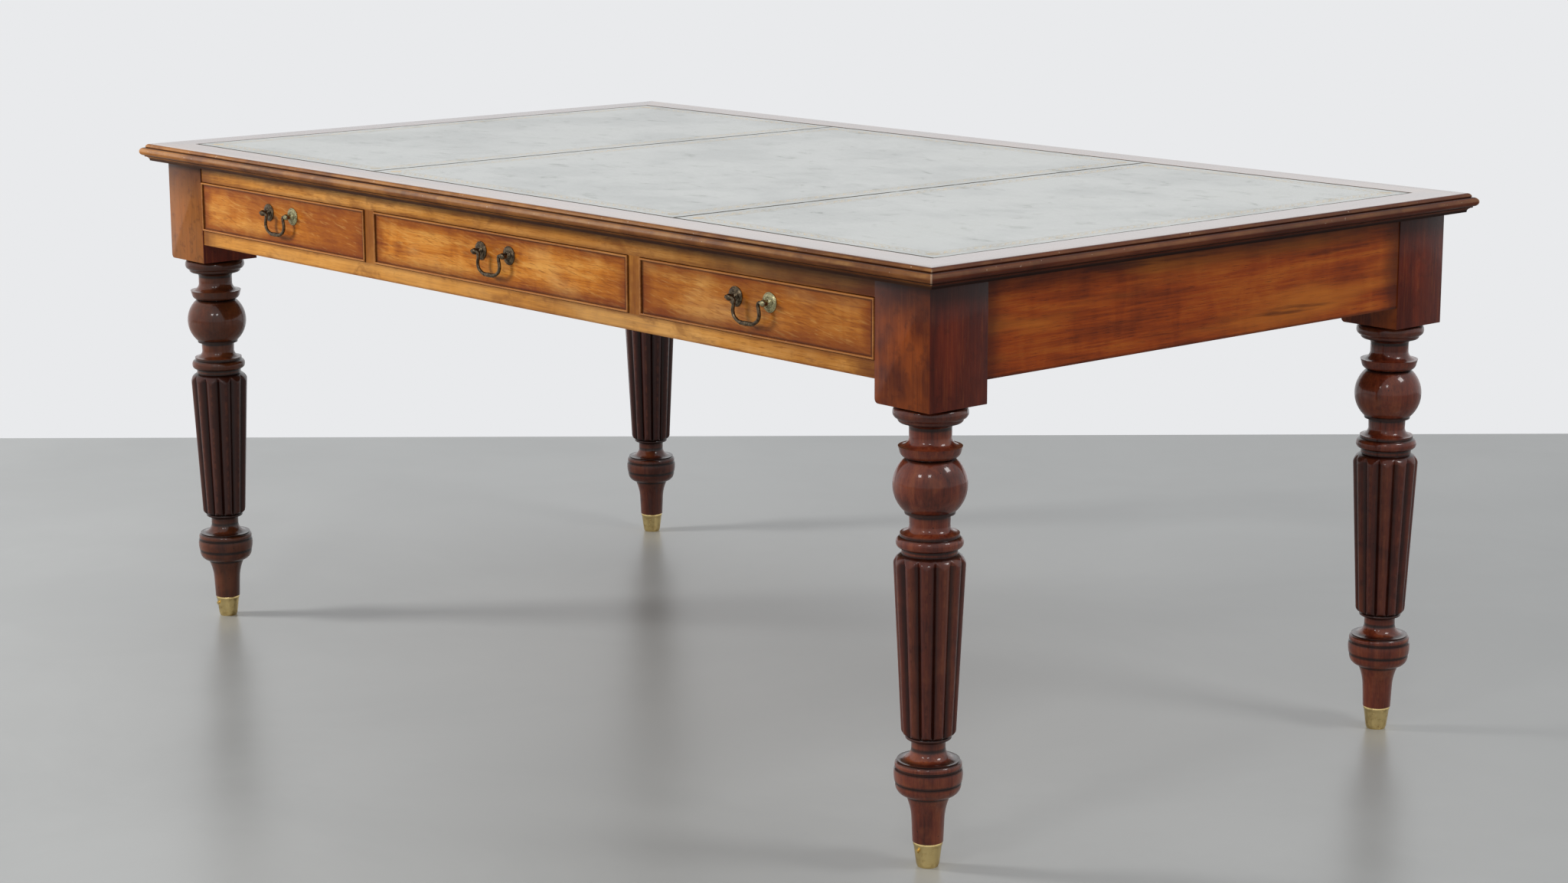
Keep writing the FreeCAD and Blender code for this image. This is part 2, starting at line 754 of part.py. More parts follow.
def cap_screw(name, side, place):
    """A screw through the cap, its head sunk just below the brass, and the open mouth over it."""
    def outwards(distance):
        return place[0], place[1] + side * distance, s.cap_screw_height

    turn = OUTWARDS[side]
    core = round_part("Part::Cylinder", f"{name}_core", outwards(cap_screw_out - s.cap_screw_long), turn,
                      Radius=s.cap_screw_core, Height=s.cap_screw_long)
    head = round_part("Part::Cone", f"{name}_head", outwards(cap_screw_out - s.cap_screw_head), turn,
                      Radius1=s.cap_screw_core, Radius2=s.cap_screw_head, Height=s.cap_screw_head)
    mouth = round_part("Part::Cylinder", f"{name}_mouth", outwards(cap_screw_out), turn,
                       Radius=s.cap_screw_head, Height=s.cap_screw_long)
    return fuse(name, [core, head]), mouth


def foot_cap(name, place, screw, mouth):
    """A tapered brass cup with a rim bead, which the leg's spigot fills."""
    body = new_body(f"{name}_cup", (place[0], place[1], ORIGIN))
    cup = Outline(0, s.cap_floor)
    cup.to(s.spigot_low_radius + s.spigot_room, s.cap_floor)
    cup.to(s.spigot_top_radius + s.spigot_room, s.cap_height)
    cup.to(s.cap_top_radius, s.cap_height)
    cup.down(s.cap_top_radius, s.cap_rim_height,
             (s.cap_rim_radius.value - s.cap_top_radius.value) / s.cap_rim_height.value)
    cup.to(s.cap_low_radius, s.cap_toe_height)
    cup.to(s.cap_toe_radius, 0, FLAT_ROUND)
    cup.to(0, 0)
    revolve(body, cup.sketch(body, f"{name}_section", "XZ_Plane"), f"{name}_turned")
    return node(cut(f"{name}_bored", body, group(f"{name}_holes", [screw, mouth])), name)


def leg(side, end):
    """A leg: block and turning from one piece, reeded, and mortised for its three rails."""
    name = f"leg_{SIDE_NAMES[side]}_{END_NAMES[end]}"
    place = (end * leg_x, side * leg_y)
    body = new_body(f"{name}_turning", (place[0], place[1], ORIGIN))
    revolve(body, leg_outline().sketch(body, f"{name}_section", "XZ_Plane"), f"{name}_turned")
    reeded = cut(f"{name}_reeded", body, reed_cutter(f"{name}_reed_waste", place))
    block = box(f"{name}_block", (end * block_in_x, end * block_out_x),
                (side * block_in_y, side * block_out_y), (block_base, under_top))
    doc.recompute()
    eased = doc.addObject("Part::Fillet", f"{name}_eased")
    eased.Base = block
    toe = [number for number, edge in enumerate(block.Shape.Edges, 1) if is_left_toe(edge)]
    eased.Edges = [(number, s.block_ease.value, s.block_ease.value) for number in toe]
    whole = fuse(f"{name}_whole", [eased, reeded])
    screw, mouth = cap_screw(f"cap_screw_{SIDE_NAMES[side]}_{END_NAMES[end]}", side, place)
    mortises = group(f"{name}_mortises", long_tenons[side] + [end_tenons[end], screw])
    node(cut(f"{name}_mortised", whole, mortises), name)
    foot_cap(f"foot_cap_{SIDE_NAMES[side]}_{END_NAMES[end]}", place, screw, mouth)
    return screw


def is_left_toe(edge):
    """The bottom edge of a block that runs from front to back on its left side."""
    ends = [vertex.Point for vertex in edge.Vertexes]
    low = all(abs(point.z - block_base.value) < 0.01 for point in ends)
    along = abs(ends[0].x - ends[1].x) < 0.01
    left = min(abs(ends[0].x - x) for x in (-block_out_x.value, block_in_x.value)) < 0.01
    return low and along and left


cap_screws = [leg(side, end) for side in (FRONT, BACK) for end in (LEFT, RIGHT)]
node(group("cap_screw_set", cap_screws), "cap_screws")


# Drawers and their handles

def handle_post(name, place, turn):
    """A round rose, a short stem and a ball with the pin's hole, on a shank through the front."""
    body = new_body(name, place, turn, roll=90)
    stem = Outline(0, s.pivot_out + s.ball_radius)
    stem.to(s.ball_radius, s.pivot_out, QUARTER_ROUND)
    stem.down(s.post_neck, s.ball_radius - s.rose_rim, SOFT_ROUND)
    stem.to(s.post_collar, s.rose_dome, -QUARTER_ROUND)
    stem.to(s.rose_radius, s.rose_rim, SOFT_ROUND)
    stem.to(s.rose_radius, 0)
    stem.to(s.shank_radius, 0)
    stem.to(s.shank_radius, -s.front_thick - s.nut_thick)
    stem.to(0, -s.front_thick - s.nut_thick)
    revolve(body, stem.sketch(body, f"{name}_section", "XY_Plane"), f"{name}_turned")
    return body


def bail_shape():
    """The drop handle: a round wire on rounded corners, thicker at its foot, pins outwards."""
    wire = s.bail_wire.value
    tip = s.post_apart.value / 2 + s.ball_radius.value + s.pin_stub.value
    corners = [(tip, 0, 0), (s.bail_top.value, 0, s.bail_elbow_bend.value),
               (s.bail_wide.value, -s.bail_wide_drop.value, s.bail_limb_bend.value),
               (s.bail_foot.value, -s.bail_drop.value, s.bail_foot_bend.value)]
    route = corners + [(-x, z, bend) for x, z, bend in reversed(corners)]
    points = [Vector(x, 0, z) for x, z, bend in route]
    edges = []
    last = points[0]
    for index in range(1, len(points) - 1):
        before = (points[index - 1] - points[index]).normalize()
        after = (points[index + 1] - points[index]).normalize()
        half_angle = before.getAngle(after) / 2
        setback = route[index][2] / math.tan(half_angle)
        start = points[index] + before * setback
        end = points[index] + after * setback
        to_centre = (before + after).normalize() * (route[index][2] / math.sin(half_angle))
        centre = points[index] + to_centre
        middle = centre - to_centre.normalize() * route[index][2]
        edges.append(Part.LineSegment(last, start).toShape())
        edges.append(Part.Arc(start, middle, end).toShape())
        last = end
    edges.append(Part.LineSegment(last, points[-1]).toShape())
    path = Part.Wire(edges)
    section = Part.Wire([Part.makeCircle(wire, points[0], Vector(1, 0, 0))])
    rod = path.makePipeShell([section], True, False)
    half_long = s.bail_bead_long.value / 2
    foot = -s.bail_drop.value
    swell = Part.Arc(Vector(-half_long, 0, foot + s.bail_bead_end.value),
                     Vector(0, 0, foot + s.bail_bead_radius.value),
                     Vector(half_long, 0, foot + s.bail_bead_end.value)).toShape()
    low = [Vector(half_long, 0, foot), Vector(-half_long, 0, foot)]
    sides = [Part.LineSegment(swell.Vertexes[1].Point, low[0]).toShape(),
             Part.LineSegment(low[0], low[1]).toShape(),
             Part.LineSegment(low[1], swell.Vertexes[0].Point).toShape()]
    bead = Part.Face(Part.Wire([swell, *sides])).revolve(Vector(0, 0, foot), Vector(1, 0, 0), 360)
    collars = []
    for end in (LEFT, RIGHT):
        start = end * half_long - s.bail_collar_long.value / 2
        collars.append(Part.makeCylinder(s.bail_collar_radius.value, s.bail_collar_long.value,
                                         Vector(start, 0, foot), Vector(1, 0, 0)))
    return rod.fuse([bead, *collars]).removeSplitter()


def drawer(side, place):
    """A drawer: front, cock bead, box, handle posts and bail, in the opening at this place."""
    name = f"{SIDE_NAMES[side]}_{place}"
    middle = drawer_middles[place]
    wide = s.middle_opening if place == "middle" else block_in_x - divider_out
    half = wide / 2 - s.drawer_gap
    low = opening_base + s.drawer_gap
    high = opening_top - s.drawer_gap
    rear = centre_y + s.back_gap
    back_of_front = face_y - s.front_thick

    def across(reach):
        return middle - reach, middle + reach

    def along(start, end):
        return side * start, side * end

    bead = s.cock_bead
    rebate_back = face_y - s.cock_bead_deep + s.cock_bead_proud
    bottom_low = low + s.bottom_raise
    bottom_high = bottom_low + s.bottom_thick
    inner = half - s.side_thick
    side_high = high - s.side_drop
    bottom = box(f"bottom_{name}", across(inner + s.groove_deep),
                 along(back_of_front + s.groove_deep, rear), (bottom_low, bottom_high))
    sides = []
    for end in (LEFT, RIGHT):
        blank = box(f"side_blank_{name}_{END_NAMES[end]}", (middle + end * inner, middle + end * half),
                    along(back_of_front + s.front_lap, rear), (low, side_high))
        sides.append(cut(f"side_{name}_{END_NAMES[end]}", blank, bottom))
    back = box(f"back_{name}", across(inner), along(rear + s.side_thick, rear),
               (bottom_high, side_high - s.back_drop))
    node(group(f"box_{name}", [sides[0], sides[1], back, bottom]), f"drawer_box_{name}")

    handle_level = (low + high) / 2 + s.handle_rise
    posts, bores = [], []
    turn = 180 if side == FRONT else 0
    for end in (LEFT, RIGHT):
        post_x = middle + end * s.post_apart / 2
        post = handle_post(f"post_blank_{name}_{END_NAMES[end]}", (post_x, side * face_y, handle_level), turn)
        pin_start = (post_x - 2 * s.ball_radius, side * (face_y + s.pivot_out), handle_level)
        hole = round_part("Part::Cylinder", f"pin_bore_{name}_{END_NAMES[end]}", pin_start, ALONG_X,
                          Radius=s.bail_wire + s.pin_room, Height=4 * s.ball_radius)
        posts.append(cut(f"post_{name}_{END_NAMES[end]}", post, hole))
        bore_start = (post_x, side * (face_y - 1.5 * s.front_thick), handle_level)
        bore = round_part("Part::Cylinder", f"post_bore_{name}_{END_NAMES[end]}", bore_start,
                          OUTWARDS[side], Radius=s.shank_radius + s.shank_room, Height=2 * s.front_thick)
        bores.append(bore)
        nut = box(f"nut_blank_{name}_{END_NAMES[end]}",
                  (post_x - s.nut_width / 2, post_x + s.nut_width / 2),
                  along(back_of_front, back_of_front - s.nut_thick),
                  (handle_level - s.nut_width / 2, handle_level + s.nut_width / 2))
        posts.append(cut(f"nut_{name}_{END_NAMES[end]}", nut, bore))
    node(group(f"posts_{name}", posts), f"handle_posts_{name}")

    board = box(f"board_{name}", across(half), along(rebate_back, back_of_front), (low, high))
    face = box(f"face_{name}", across(half - bead), along(face_y, rebate_back), (low + bead, high - bead))
    lapped = [fuse(f"front_whole_{name}", [board, face]), *bores, bottom, *sides]
    node(cut(f"front_{name}", lapped[0], group(f"front_cuts_{name}", lapped[1:])), f"drawer_front_{name}")
    node(group(f"bead_{name}", cock_beads(name, side, middle, half, low, high, rebate_back)),
         f"cock_bead_{name}")

    bail = doc.addObject("Part::Feature", f"bail_{name}")
    bail.Shape = bail_shape()
    for axis, length in zip("xyz", (middle, side * (face_y + s.pivot_out), handle_level)):
        bind(bail, f"Placement.Base.{axis}", length)
    node(bail, f"drawer_bail_{name}")


def cock_beads(name, side, middle, half, low, high, rebate_back):
    """Four strips round the front with a rounded front edge; the upright ones run full height."""
    strips = []
    bead = s.cock_bead
    crest = side * (face_y + s.cock_bead_proud)
    flat = side * (face_y + s.cock_bead_proud - bead / 2)
    seat = side * rebate_back

    def strip(label, start, end, upright):
        body = new_body(f"bead_{name}_{label}")
        middle_line = (start + end) / 2
        round_bend = QUARTER_ROUND * side
        if upright:
            section = Outline(start, seat)
            section.to(start, flat).to(middle_line, crest, round_bend)
            section.to(end, flat, round_bend).to(end, seat)
        else:
            section = Outline(seat, start)
            section.to(flat, start).to(crest, middle_line, -round_bend)
            section.to(flat, end, -round_bend).to(seat, end)
        plane = "XY_Plane" if upright else "YZ_Plane"
        drawing = section.sketch(body, f"bead_section_{name}_{label}", plane)
        bar = body.newObject("PartDesign::Pad", f"bead_bar_{name}_{label}")
        bar.Profile = drawing
        if upright:
            bind(bar, "Length", high - low)
            bind(body, "Placement.Base.z", low)
        else:
            bar.SideType = "Symmetric"
            bind(bar, "Length", 2 * (half - bead))
            bind(body, "Placement.Base.x", middle)
        return body

    strips.append(strip("low", low, low + bead, False))
    strips.append(strip("high", high - bead, high, False))
    strips.append(strip("left", middle - half, middle - half + bead, True))
    strips.append(strip("right", middle + half - bead, middle + half, True))
    return strips


for side in (FRONT, BACK):
    for place in drawer_middles:
        drawer(side, place)


# Check and write

doc.recompute()
faults = [item.Name for item in doc.Objects if "Invalid" in item.State or "Error" in item.State]
if faults:
    raise RuntimeError("failed objects: " + ", ".join(faults))
os.makedirs("parts", exist_ok=True)
for piece in nodes:
    shape = piece.Shape
    if shape.isNull() or not shape.isValid() or not shape.Solids:
        raise RuntimeError(f"{piece.Label} has no valid solid")
    shape.exportStep(os.path.join("parts", f"{piece.Label}.step"))
    print(f"{piece.Label:28} solids {len(shape.Solids):3} volume {shape.Volume / 1000:10.1f} cm3")
print(len(nodes), "nodes")
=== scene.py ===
import math

import bmesh
import bpy
from mathutils import Matrix, Vector


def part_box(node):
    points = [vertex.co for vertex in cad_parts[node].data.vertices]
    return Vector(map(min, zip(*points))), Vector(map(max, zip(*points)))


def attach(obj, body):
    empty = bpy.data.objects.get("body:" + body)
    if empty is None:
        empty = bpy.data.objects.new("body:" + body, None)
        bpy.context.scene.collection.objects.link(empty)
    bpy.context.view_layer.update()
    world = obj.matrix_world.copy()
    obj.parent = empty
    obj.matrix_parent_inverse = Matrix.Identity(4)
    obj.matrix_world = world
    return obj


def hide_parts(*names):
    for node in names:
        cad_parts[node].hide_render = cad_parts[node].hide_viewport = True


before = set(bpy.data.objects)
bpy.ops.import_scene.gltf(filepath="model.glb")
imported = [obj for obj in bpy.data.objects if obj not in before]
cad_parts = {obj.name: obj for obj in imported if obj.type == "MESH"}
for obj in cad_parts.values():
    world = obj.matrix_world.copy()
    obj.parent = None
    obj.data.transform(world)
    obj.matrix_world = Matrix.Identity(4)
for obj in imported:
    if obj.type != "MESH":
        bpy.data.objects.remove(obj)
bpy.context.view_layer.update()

# A leather-topped mahogany partners' writing table, dressed around its construction model.
# Lengths given in mm are marked so and scaled by MM; everything in the scene is in metres.

MM = 0.001
SIDES = {"front": -1, "back": 1}
ENDS = {"left": -1, "right": 1}

# Bends: how far a curve rises from its chord, as a share of the chord
QUARTER = 0.207  # a quarter circle
EASY, SOFT, FLAT = 0.17, 0.12, 0.05
CRISP = 0.6  # radians; an edge between faces that turn further stays crisp


def linear(colour):
    """A colour as the eye names it, in parts from 0 to 255, made linear. A Value stays as it is."""
    if isinstance(colour, Value):
        return colour
    shares = [part / 255 for part in colour]
    return [share / 12.92 if share <= 0.04045 else ((share + 0.055) / 1.055) ** 2.4
            for share in shares] + [1]


# Node graphs

def operator(operation, reflected=False):
    """A method that adds a Math node; a reflected one has its own value second."""
    if reflected:
        return lambda value, other: value.graph.maths(operation, other, value)
    return lambda value, *others: value.graph.maths(operation, value, *others)


class Value:
    """The output of a node. Arithmetic on it adds Math nodes to its graph."""

    def __init__(self, graph, socket):
        self.graph = graph
        self.socket = socket

    def out(self, name):
        """Another output of the same node."""
        return Value(self.graph, self.socket.node.outputs[name])

    def maths(self, operation, *others):
        return self.graph.maths(operation, self, *others)

    __add__, __radd__ = operator("ADD"), operator("ADD", True)
    __sub__, __rsub__ = operator("SUBTRACT"), operator("SUBTRACT", True)
    __mul__, __rmul__ = operator("MULTIPLY"), operator("MULTIPLY", True)
    __truediv__, __rtruediv__ = operator("DIVIDE"), operator("DIVIDE", True)
    __pow__, __abs__ = operator("POWER"), operator("ABSOLUTE")
    least, most, above = operator("MINIMUM"), operator("MAXIMUM"), operator("GREATER_THAN")

    def rise(self, low, high):
        """0 below low, 1 above high, and a smooth climb between; low may be the higher one."""
        limits = {"Value": self, "From Min": low, "From Max": high}
        return self.graph.node("ShaderNodeMapRange", limits, interpolation_type="SMOOTHSTEP")


class Graph:
    """A node tree, with the one way in which nodes are added to it."""

    def __init__(self, tree):
        self.tree = tree

    def node(self, kind, inputs=None, output=0, **settings):
        made = self.tree.nodes.new(kind)
        for name, setting in settings.items():
            setattr(made, name, setting)
        for name, value in (inputs or {}).items():
            if isinstance(value, Value):
                self.tree.links.new(value.socket, made.inputs[name])
            else:
                made.inputs[name].default_value = value
        return Value(self, made.outputs[output]) if made.outputs else None

    def maths(self, operation, *values):
        return self.node("ShaderNodeMath", dict(enumerate(values)), operation=operation)

    def mix(self, amount, first, second):
        """The first colour where amount is 0, the second where it is 1."""
        return self.node("ShaderNodeMix", {0: amount, 6: linear(first), 7: linear(second)}, 2,
                         data_type="RGBA")

    def layered(self, colour, *layers):
        """A colour with others laid over it in turn, each by its own amount."""
        for amount, tone in layers:
            colour = self.mix(amount, colour, tone)
        return colour

    def ramp(self, value, *stops):
        made = self.node("ShaderNodeValToRGB", {"Fac": value})
        elements = made.socket.node.color_ramp.elements
        while len(elements) < len(stops):
            elements.new(1)
        for element, (position, colour) in zip(elements, stops):
            element.position = position
            element.color = linear(colour)
        return made

    def vector(self, x, y, z):
        return self.node("ShaderNodeCombineXYZ", {"X": x, "Y": y, "Z": z})

    def split(self, vector):
        parts = self.node("ShaderNodeSeparateXYZ", {"Vector": vector}, "X")
        return parts, parts.out("Y"), parts.out("Z")

    def mapped(self, vector, scale, shift=(0, 0, 0)):
        return self.node("ShaderNodeMapping", {"Vector": vector, "Scale": scale, "Location": shift})

    def noise(self, vector, scale=1, detail=3, roughness=0.6, distortion=0):
        return self.node("ShaderNodeTexNoise", {"Vector": vector, "Scale": scale, "Detail": detail,
                                                "Roughness": roughness, "Distortion": distortion})


# Places on the table

LEG_X, LEG_Y = 0.8245, 0.445  # the legs' axes
BLOCK_HALF, BLOCK_LOW, BLOCK_HIGH = 0.0485, 0.5885, 0.7435
BLOCK_IN, BLOCK_IN_DEEP = 0.776, 0.3965  # the leg blocks' inner faces
RAIL_FOOT, UNDER_TOP = 0.619, 0.742  # the rails darken along their lower edges, and painted shade lies along their upper edges
OPENING_HALF = 0.039  # half the height of the openings for the drawers
DRAWER_LEVEL, HANDLE_LEVEL = 0.6795, 0.689
FACE_Y, FACE_HALF_HIGH = 0.492, 0.0382  # the drawers' faces
LAP_Y, LAP_DEEP, TAIL_PITCH = 0.480, 0.008, 0.0191  # the dovetails behind them
FLAT_X, FLAT_Y = 0.8946, 0.5126  # the flat of the top, inside its moulding
FLAT_EDGE = 0.76955, 0.7699  # the heights between which the flat begins
EDGE_CREST, BEAD_QUIRK, BEAD_CREST = 0.7672, 0.7641, 0.7605  # down the top's moulding
FILLET, COVE = 0.7513, 0.7475
EDGE_SHINE, BEAD_SHINE = 0.7665, 0.7600  # where polish is left on it
REEDS, REED_DEPTH = 12, 0.0056
REED_RADIUS, REED_FOOT, REED_HEAD = 0.0341, 0.1711, 0.4025
REED_TAPER = (44.8 - 34.6) / (387 - 180.5)  # how fast the column widens upwards
LEG_QUIRKS = (0.5875, 0.5662, 0.5603, 0.5220, 0.4552, 0.4518, 0.4250, 0.4092, 0.4022,
              0.1713, 0.1662, 0.1535, 0.1388, 0.1292, 0.1106, 0.0935)


# Materials

def finish(name, shade, constants):
    """A material. shade gives what varies over it, and the constants go on the shader itself."""
    made = bpy.data.materials.new(name)
    made.use_nodes = True
    made.node_tree.nodes.clear()
    graph = Graph(made.node_tree)
    place = graph.node("ShaderNodeTexCoord", None, "Object")
    varied = shade(graph, place)
    if "Relief" in varied:
        height, depth = varied.pop("Relief")
        varied["Normal"] = graph.node("ShaderNodeBump",
                                      {"Height": height, "Strength": 1.0, "Distance": depth})
    shader = graph.node("ShaderNodeBsdfPrincipled", {**constants, **varied})
    graph.node("ShaderNodeOutputMaterial", {"Surface": shader})
    return made


def wood(name, tones, axis, polish, figure=1.0, shift=0.0, worn=None, coat=None):
    """Polished or bare wood with its grain along an axis.

    tones are the dark, middle and light colours and that of the pores. worn(graph, place) gives
    the layers of colour laid over them: marks of age, and in places painted shade and highlight.
    coat(x, y, z) gives the weight of the polish."""
    dark, middle, light, pore = tones
    along = "xyz".index(axis)

    def shade(graph, place):
        def grain(across, lengthwise, *character):
            scale = [across, across, across]
            scale[along] = lengthwise
            stretched = graph.mapped(place, scale, (shift, shift * 1.7, shift * 0.6))
            return graph.noise(stretched, 1, *character)

        bands = grain(24, 1.7, 3, 0.55, 1.5)
        fibre = grain(330, 8, 3, 0.62)
        ribbon = grain(11, 22, 3, 0.55, 0.8)
        speck = grain(1300, 45, 1, 0.5).rise(0.60, 0.70)
        tone = ((bands - 0.5) * (1.7 * figure) + (fibre - 0.5) * (0.95 * figure)
                + (ribbon - 0.5) * (0.9 * figure ** 2) + 0.5)
        colour = graph.ramp(tone, (0.10, dark), (0.5, middle), (0.92, light))
        colour = graph.mix(speck * 0.5, colour, pore)
        if worn:
            colour = graph.layered(colour, *worn(graph, place))
        made = {"Base Color": colour,
                "Roughness": polish["Roughness"] + (fibre - 0.5) * 0.14 + speck * 0.1,
                "Relief": (fibre * 0.35 - speck * 0.65, polish["Depth"])}
        if coat:
            made["Coat Weight"] = coat(*graph.split(place))
        return made

    constants = {key: value for key, value in polish.items() if key not in ("Roughness", "Depth")}
    return finish(name, shade, constants)


FRENCH_POLISH = {"Roughness": 0.45, "Specular IOR Level": 0.08, "Coat Weight": 0.24,
                 "Coat Roughness": 0.15, "Depth": 0.00012}
BEAD_POLISH = {"Roughness": 0.36, "Specular IOR Level": 0.12, "Coat Weight": 0.38,
               "Coat Roughness": 0.13, "Depth": 0.00008}
LEG_POLISH = {"Roughness": 0.34, "Specular IOR Level": 0.12, "Coat Roughness": 0.10, "Depth": 0.00008}
TURNING_COAT, BLOCK_COAT = 0.62, 0.20
TABLE_POLISH = {"Roughness": 0.34, "Specular IOR Level": 0.07, "Coat Roughness": 0.12,
                "Coat IOR": 1.85, "Depth": 0.000004}
BARE = {"Roughness": 0.62, "Specular IOR Level": 0.3, "Depth": 0.0002}

# Each wood's dark, middle and light tones and that of its pores
FRONT_TONES = (140, 66, 14), (204, 122, 34), (230, 160, 72), (112, 52, 14)
RAIL_TONES = (142, 82, 26), (202, 134, 52), (224, 160, 82), (104, 54, 20)
END_TONES = (96, 34, 10), (164, 70, 18), (196, 106, 34), (66, 24, 8)
LEG_TONES = (64, 23, 15), (112, 47, 28), (142, 74, 44), (42, 14, 10)
LONG_BORDER_TONES = (76, 40, 16), (132, 78, 32), (174, 114, 54), (58, 28, 12)
SHORT_BORDER_TONES = (56, 19, 11), (98, 41, 23), (134, 72, 42), (42, 14, 8)
BEAD_TONES = (116, 58, 20), (168, 100, 42), (198, 136, 70), (84, 40, 16)
CARCASS_TONES = (112, 78, 46), (150, 110, 68), (176, 138, 92), (84, 56, 32)
LINING_TONES = (130, 90, 52), (172, 128, 80), (198, 158, 108), (100, 68, 38)
# The darker of these is laid on mostly as painted shade: in hollows and quirks, under the top and along
# the beads.
SHADE_AND_GRIME, RED_GRIME = (34, 14, 7), (86, 32, 12)
FADED, RUBBED = (226, 176, 108), (198, 142, 74)


def front_age_and_painted_light(middle, half_wide, red, fade_and_sheen):
    """Age and painted light on a drawer front: red-brown edges that are partly painted shade,
    painted shade in a narrow band along the beads and into the corners, short slanting flecks,
    and faded places that also stand for painted sheen.

    red is how far the whole front is turned redder, and the last number how far it is faded and
    painted with sheen."""
    def worn(graph, place):
        x, y, z = graph.split(place)
        across, up = x - middle, z - DRAWER_LEVEL
        uneven = graph.noise(place, 30) - 0.5
        broad = graph.noise(graph.vector(x * 6, y * 3, z * 11 + middle), 1, 3, 0.55)
        fleck = graph.noise(graph.vector(x * 34, y * 50, (z + x * 0.18) * 300), 1, 2, 0.6)
        inset = ((half_wide - abs(across)) * 0.7).least(FACE_HALF_HIGH - abs(up))
        round_handle = (across / 0.052) ** 2 + ((up - 0.002) / 0.030) ** 2
        return [
            (red * 0.6, (138, 76, 30)),
            (broad.rise(0.62, 0.35) * (0.35 + red), (150, 76, 20)),
            # Faded places, which also serve as painted sheen.
            (broad.rise(0.54, 0.74) * fade_and_sheen, FADED),
            (fleck.rise(0.56, 0.70) * 0.26, (236, 184, 104)),
            (fleck.rise(0.43, 0.32) * 0.40, (126, 60, 14)),
            # Red-brown towards the edges, partly painted shade.
            ((inset + uneven * 0.016).rise(0.024, 0.002) * 0.66, (112, 44, 12)),
            # Painted shade in a narrow band along the beads.
            ((inset + uneven * 0.003).rise(0.0062, 0.0040) * 0.55, SHADE_AND_GRIME),
            (round_handle.rise(1.2, 0.2) * 0.16, RED_GRIME)]
    return worn


def bead_wear_and_painted_light(graph, place):
    """A bead lighter along its crest, as rubbed wear and painted highlight,
    with painted shade along both its feet.
    """
    spot = graph.noise(place, 60)
    height = abs(graph.split(place)[1]) - FACE_Y
    return [
        # The crest lighter: rubbed wear and painted highlight.
        (height.rise(0.0017, 0.0025) * (0.08 + spot * 0.45), (206, 146, 80)),
        # Painted shade along the bead's feet.
        (height.rise(0.0014, 0.0005) * 0.75, SHADE_AND_GRIME)]


def rail_age_and_painted_shade(graph, place):
    """Darker where a rail meets the leg blocks and along its foot, with painted shade beside the
    beads, in a line below the top and over its upper right part.
    """
    x, y, z = graph.split(place)
    spot = graph.noise(place, 26)
    uneven = spot - 0.5
    broad = graph.noise(graph.vector(x * 3.2, y, z * 9), 1, 3, 0.55)
    mottle = graph.noise(graph.vector(x * 15, y, z * 34), 1, 4, 0.62, 0.6)
    golden = x.rise(0.5, -0.2) * z.rise(0.645, 0.638)
    shaded_top_right = (x + uneven * 0.2).rise(0.20, 0.62) * z.rise(0.715, 0.722)
    ends = (BLOCK_IN - abs(x)).rise(0.06, 0.0)
    foot = (z + uneven * 0.004).rise(RAIL_FOOT + 0.0035, RAIL_FOOT)
    beside = (abs(z - DRAWER_LEVEL) - OPENING_HALF + uneven * 0.002).rise(0.0065, 0.0)
    under = (z + uneven * 0.012).rise(UNDER_TOP - 0.018, UNDER_TOP)
    return [
        (broad.rise(0.58, 0.36) * 0.50, (138, 72, 20)),
        (broad.rise(0.52, 0.72) * 0.45, FADED),
        (golden * 0.30, (232, 166, 84)),
        # Painted shade over the upper right part of the rail.
        (shaded_top_right * 0.75, (82, 46, 28)),
        ((ends * (0.35 + spot * 0.5)).most(foot * 0.5), RED_GRIME),
        (mottle.rise(0.50, 0.36) * 0.42, (112, 56, 16)),
        # Painted shade beside the drawer openings, along the beads.
        (beside * 0.5, (96, 42, 14)),
        # Painted shade in a line below the top.
        (under * 0.18, SHADE_AND_GRIME)]


def divider_worn(graph, place):
    """The uprights between the drawers are redder than the rails."""
    spot = graph.noise(place, 26)
    return [(spot.rise(0.25, 0.65) * 0.4 + 0.35, (118, 58, 20))]


def end_age_and_painted_shade(graph, place):
    """Long dark streaks on the rails across the ends, darker near the leg blocks and along their
    foot, and painted shade under the top.
    """
    x, y, z = graph.split(place)
    streak = graph.noise(graph.vector(x, y * 3.4, (z + y * 0.02) * 62.0), 1, 4, 0.62)
    broad = graph.noise(graph.vector(x, y * 2.6, z * 17), 1, 3, 0.5)
    uneven = graph.noise(place, 22) - 0.5
    ends = (BLOCK_IN_DEEP - abs(y) + uneven * 0.03).rise(0.042, 0.002)
    under = (z + uneven * 0.010).rise(UNDER_TOP - 0.016, UNDER_TOP)
    foot = (z + uneven * 0.004).rise(RAIL_FOOT + 0.0045, RAIL_FOOT)
    return [
        (broad.rise(0.48, 0.68) * 0.62, (206, 120, 42)),
        (streak.rise(0.57, 0.71) * 0.62, (66, 22, 8)),
        (ends * 0.72, (60, 20, 12)),
        # Painted shade under the top, and darker along the foot.
        ((under * 0.5).most(foot * 0.6), SHADE_AND_GRIME)]


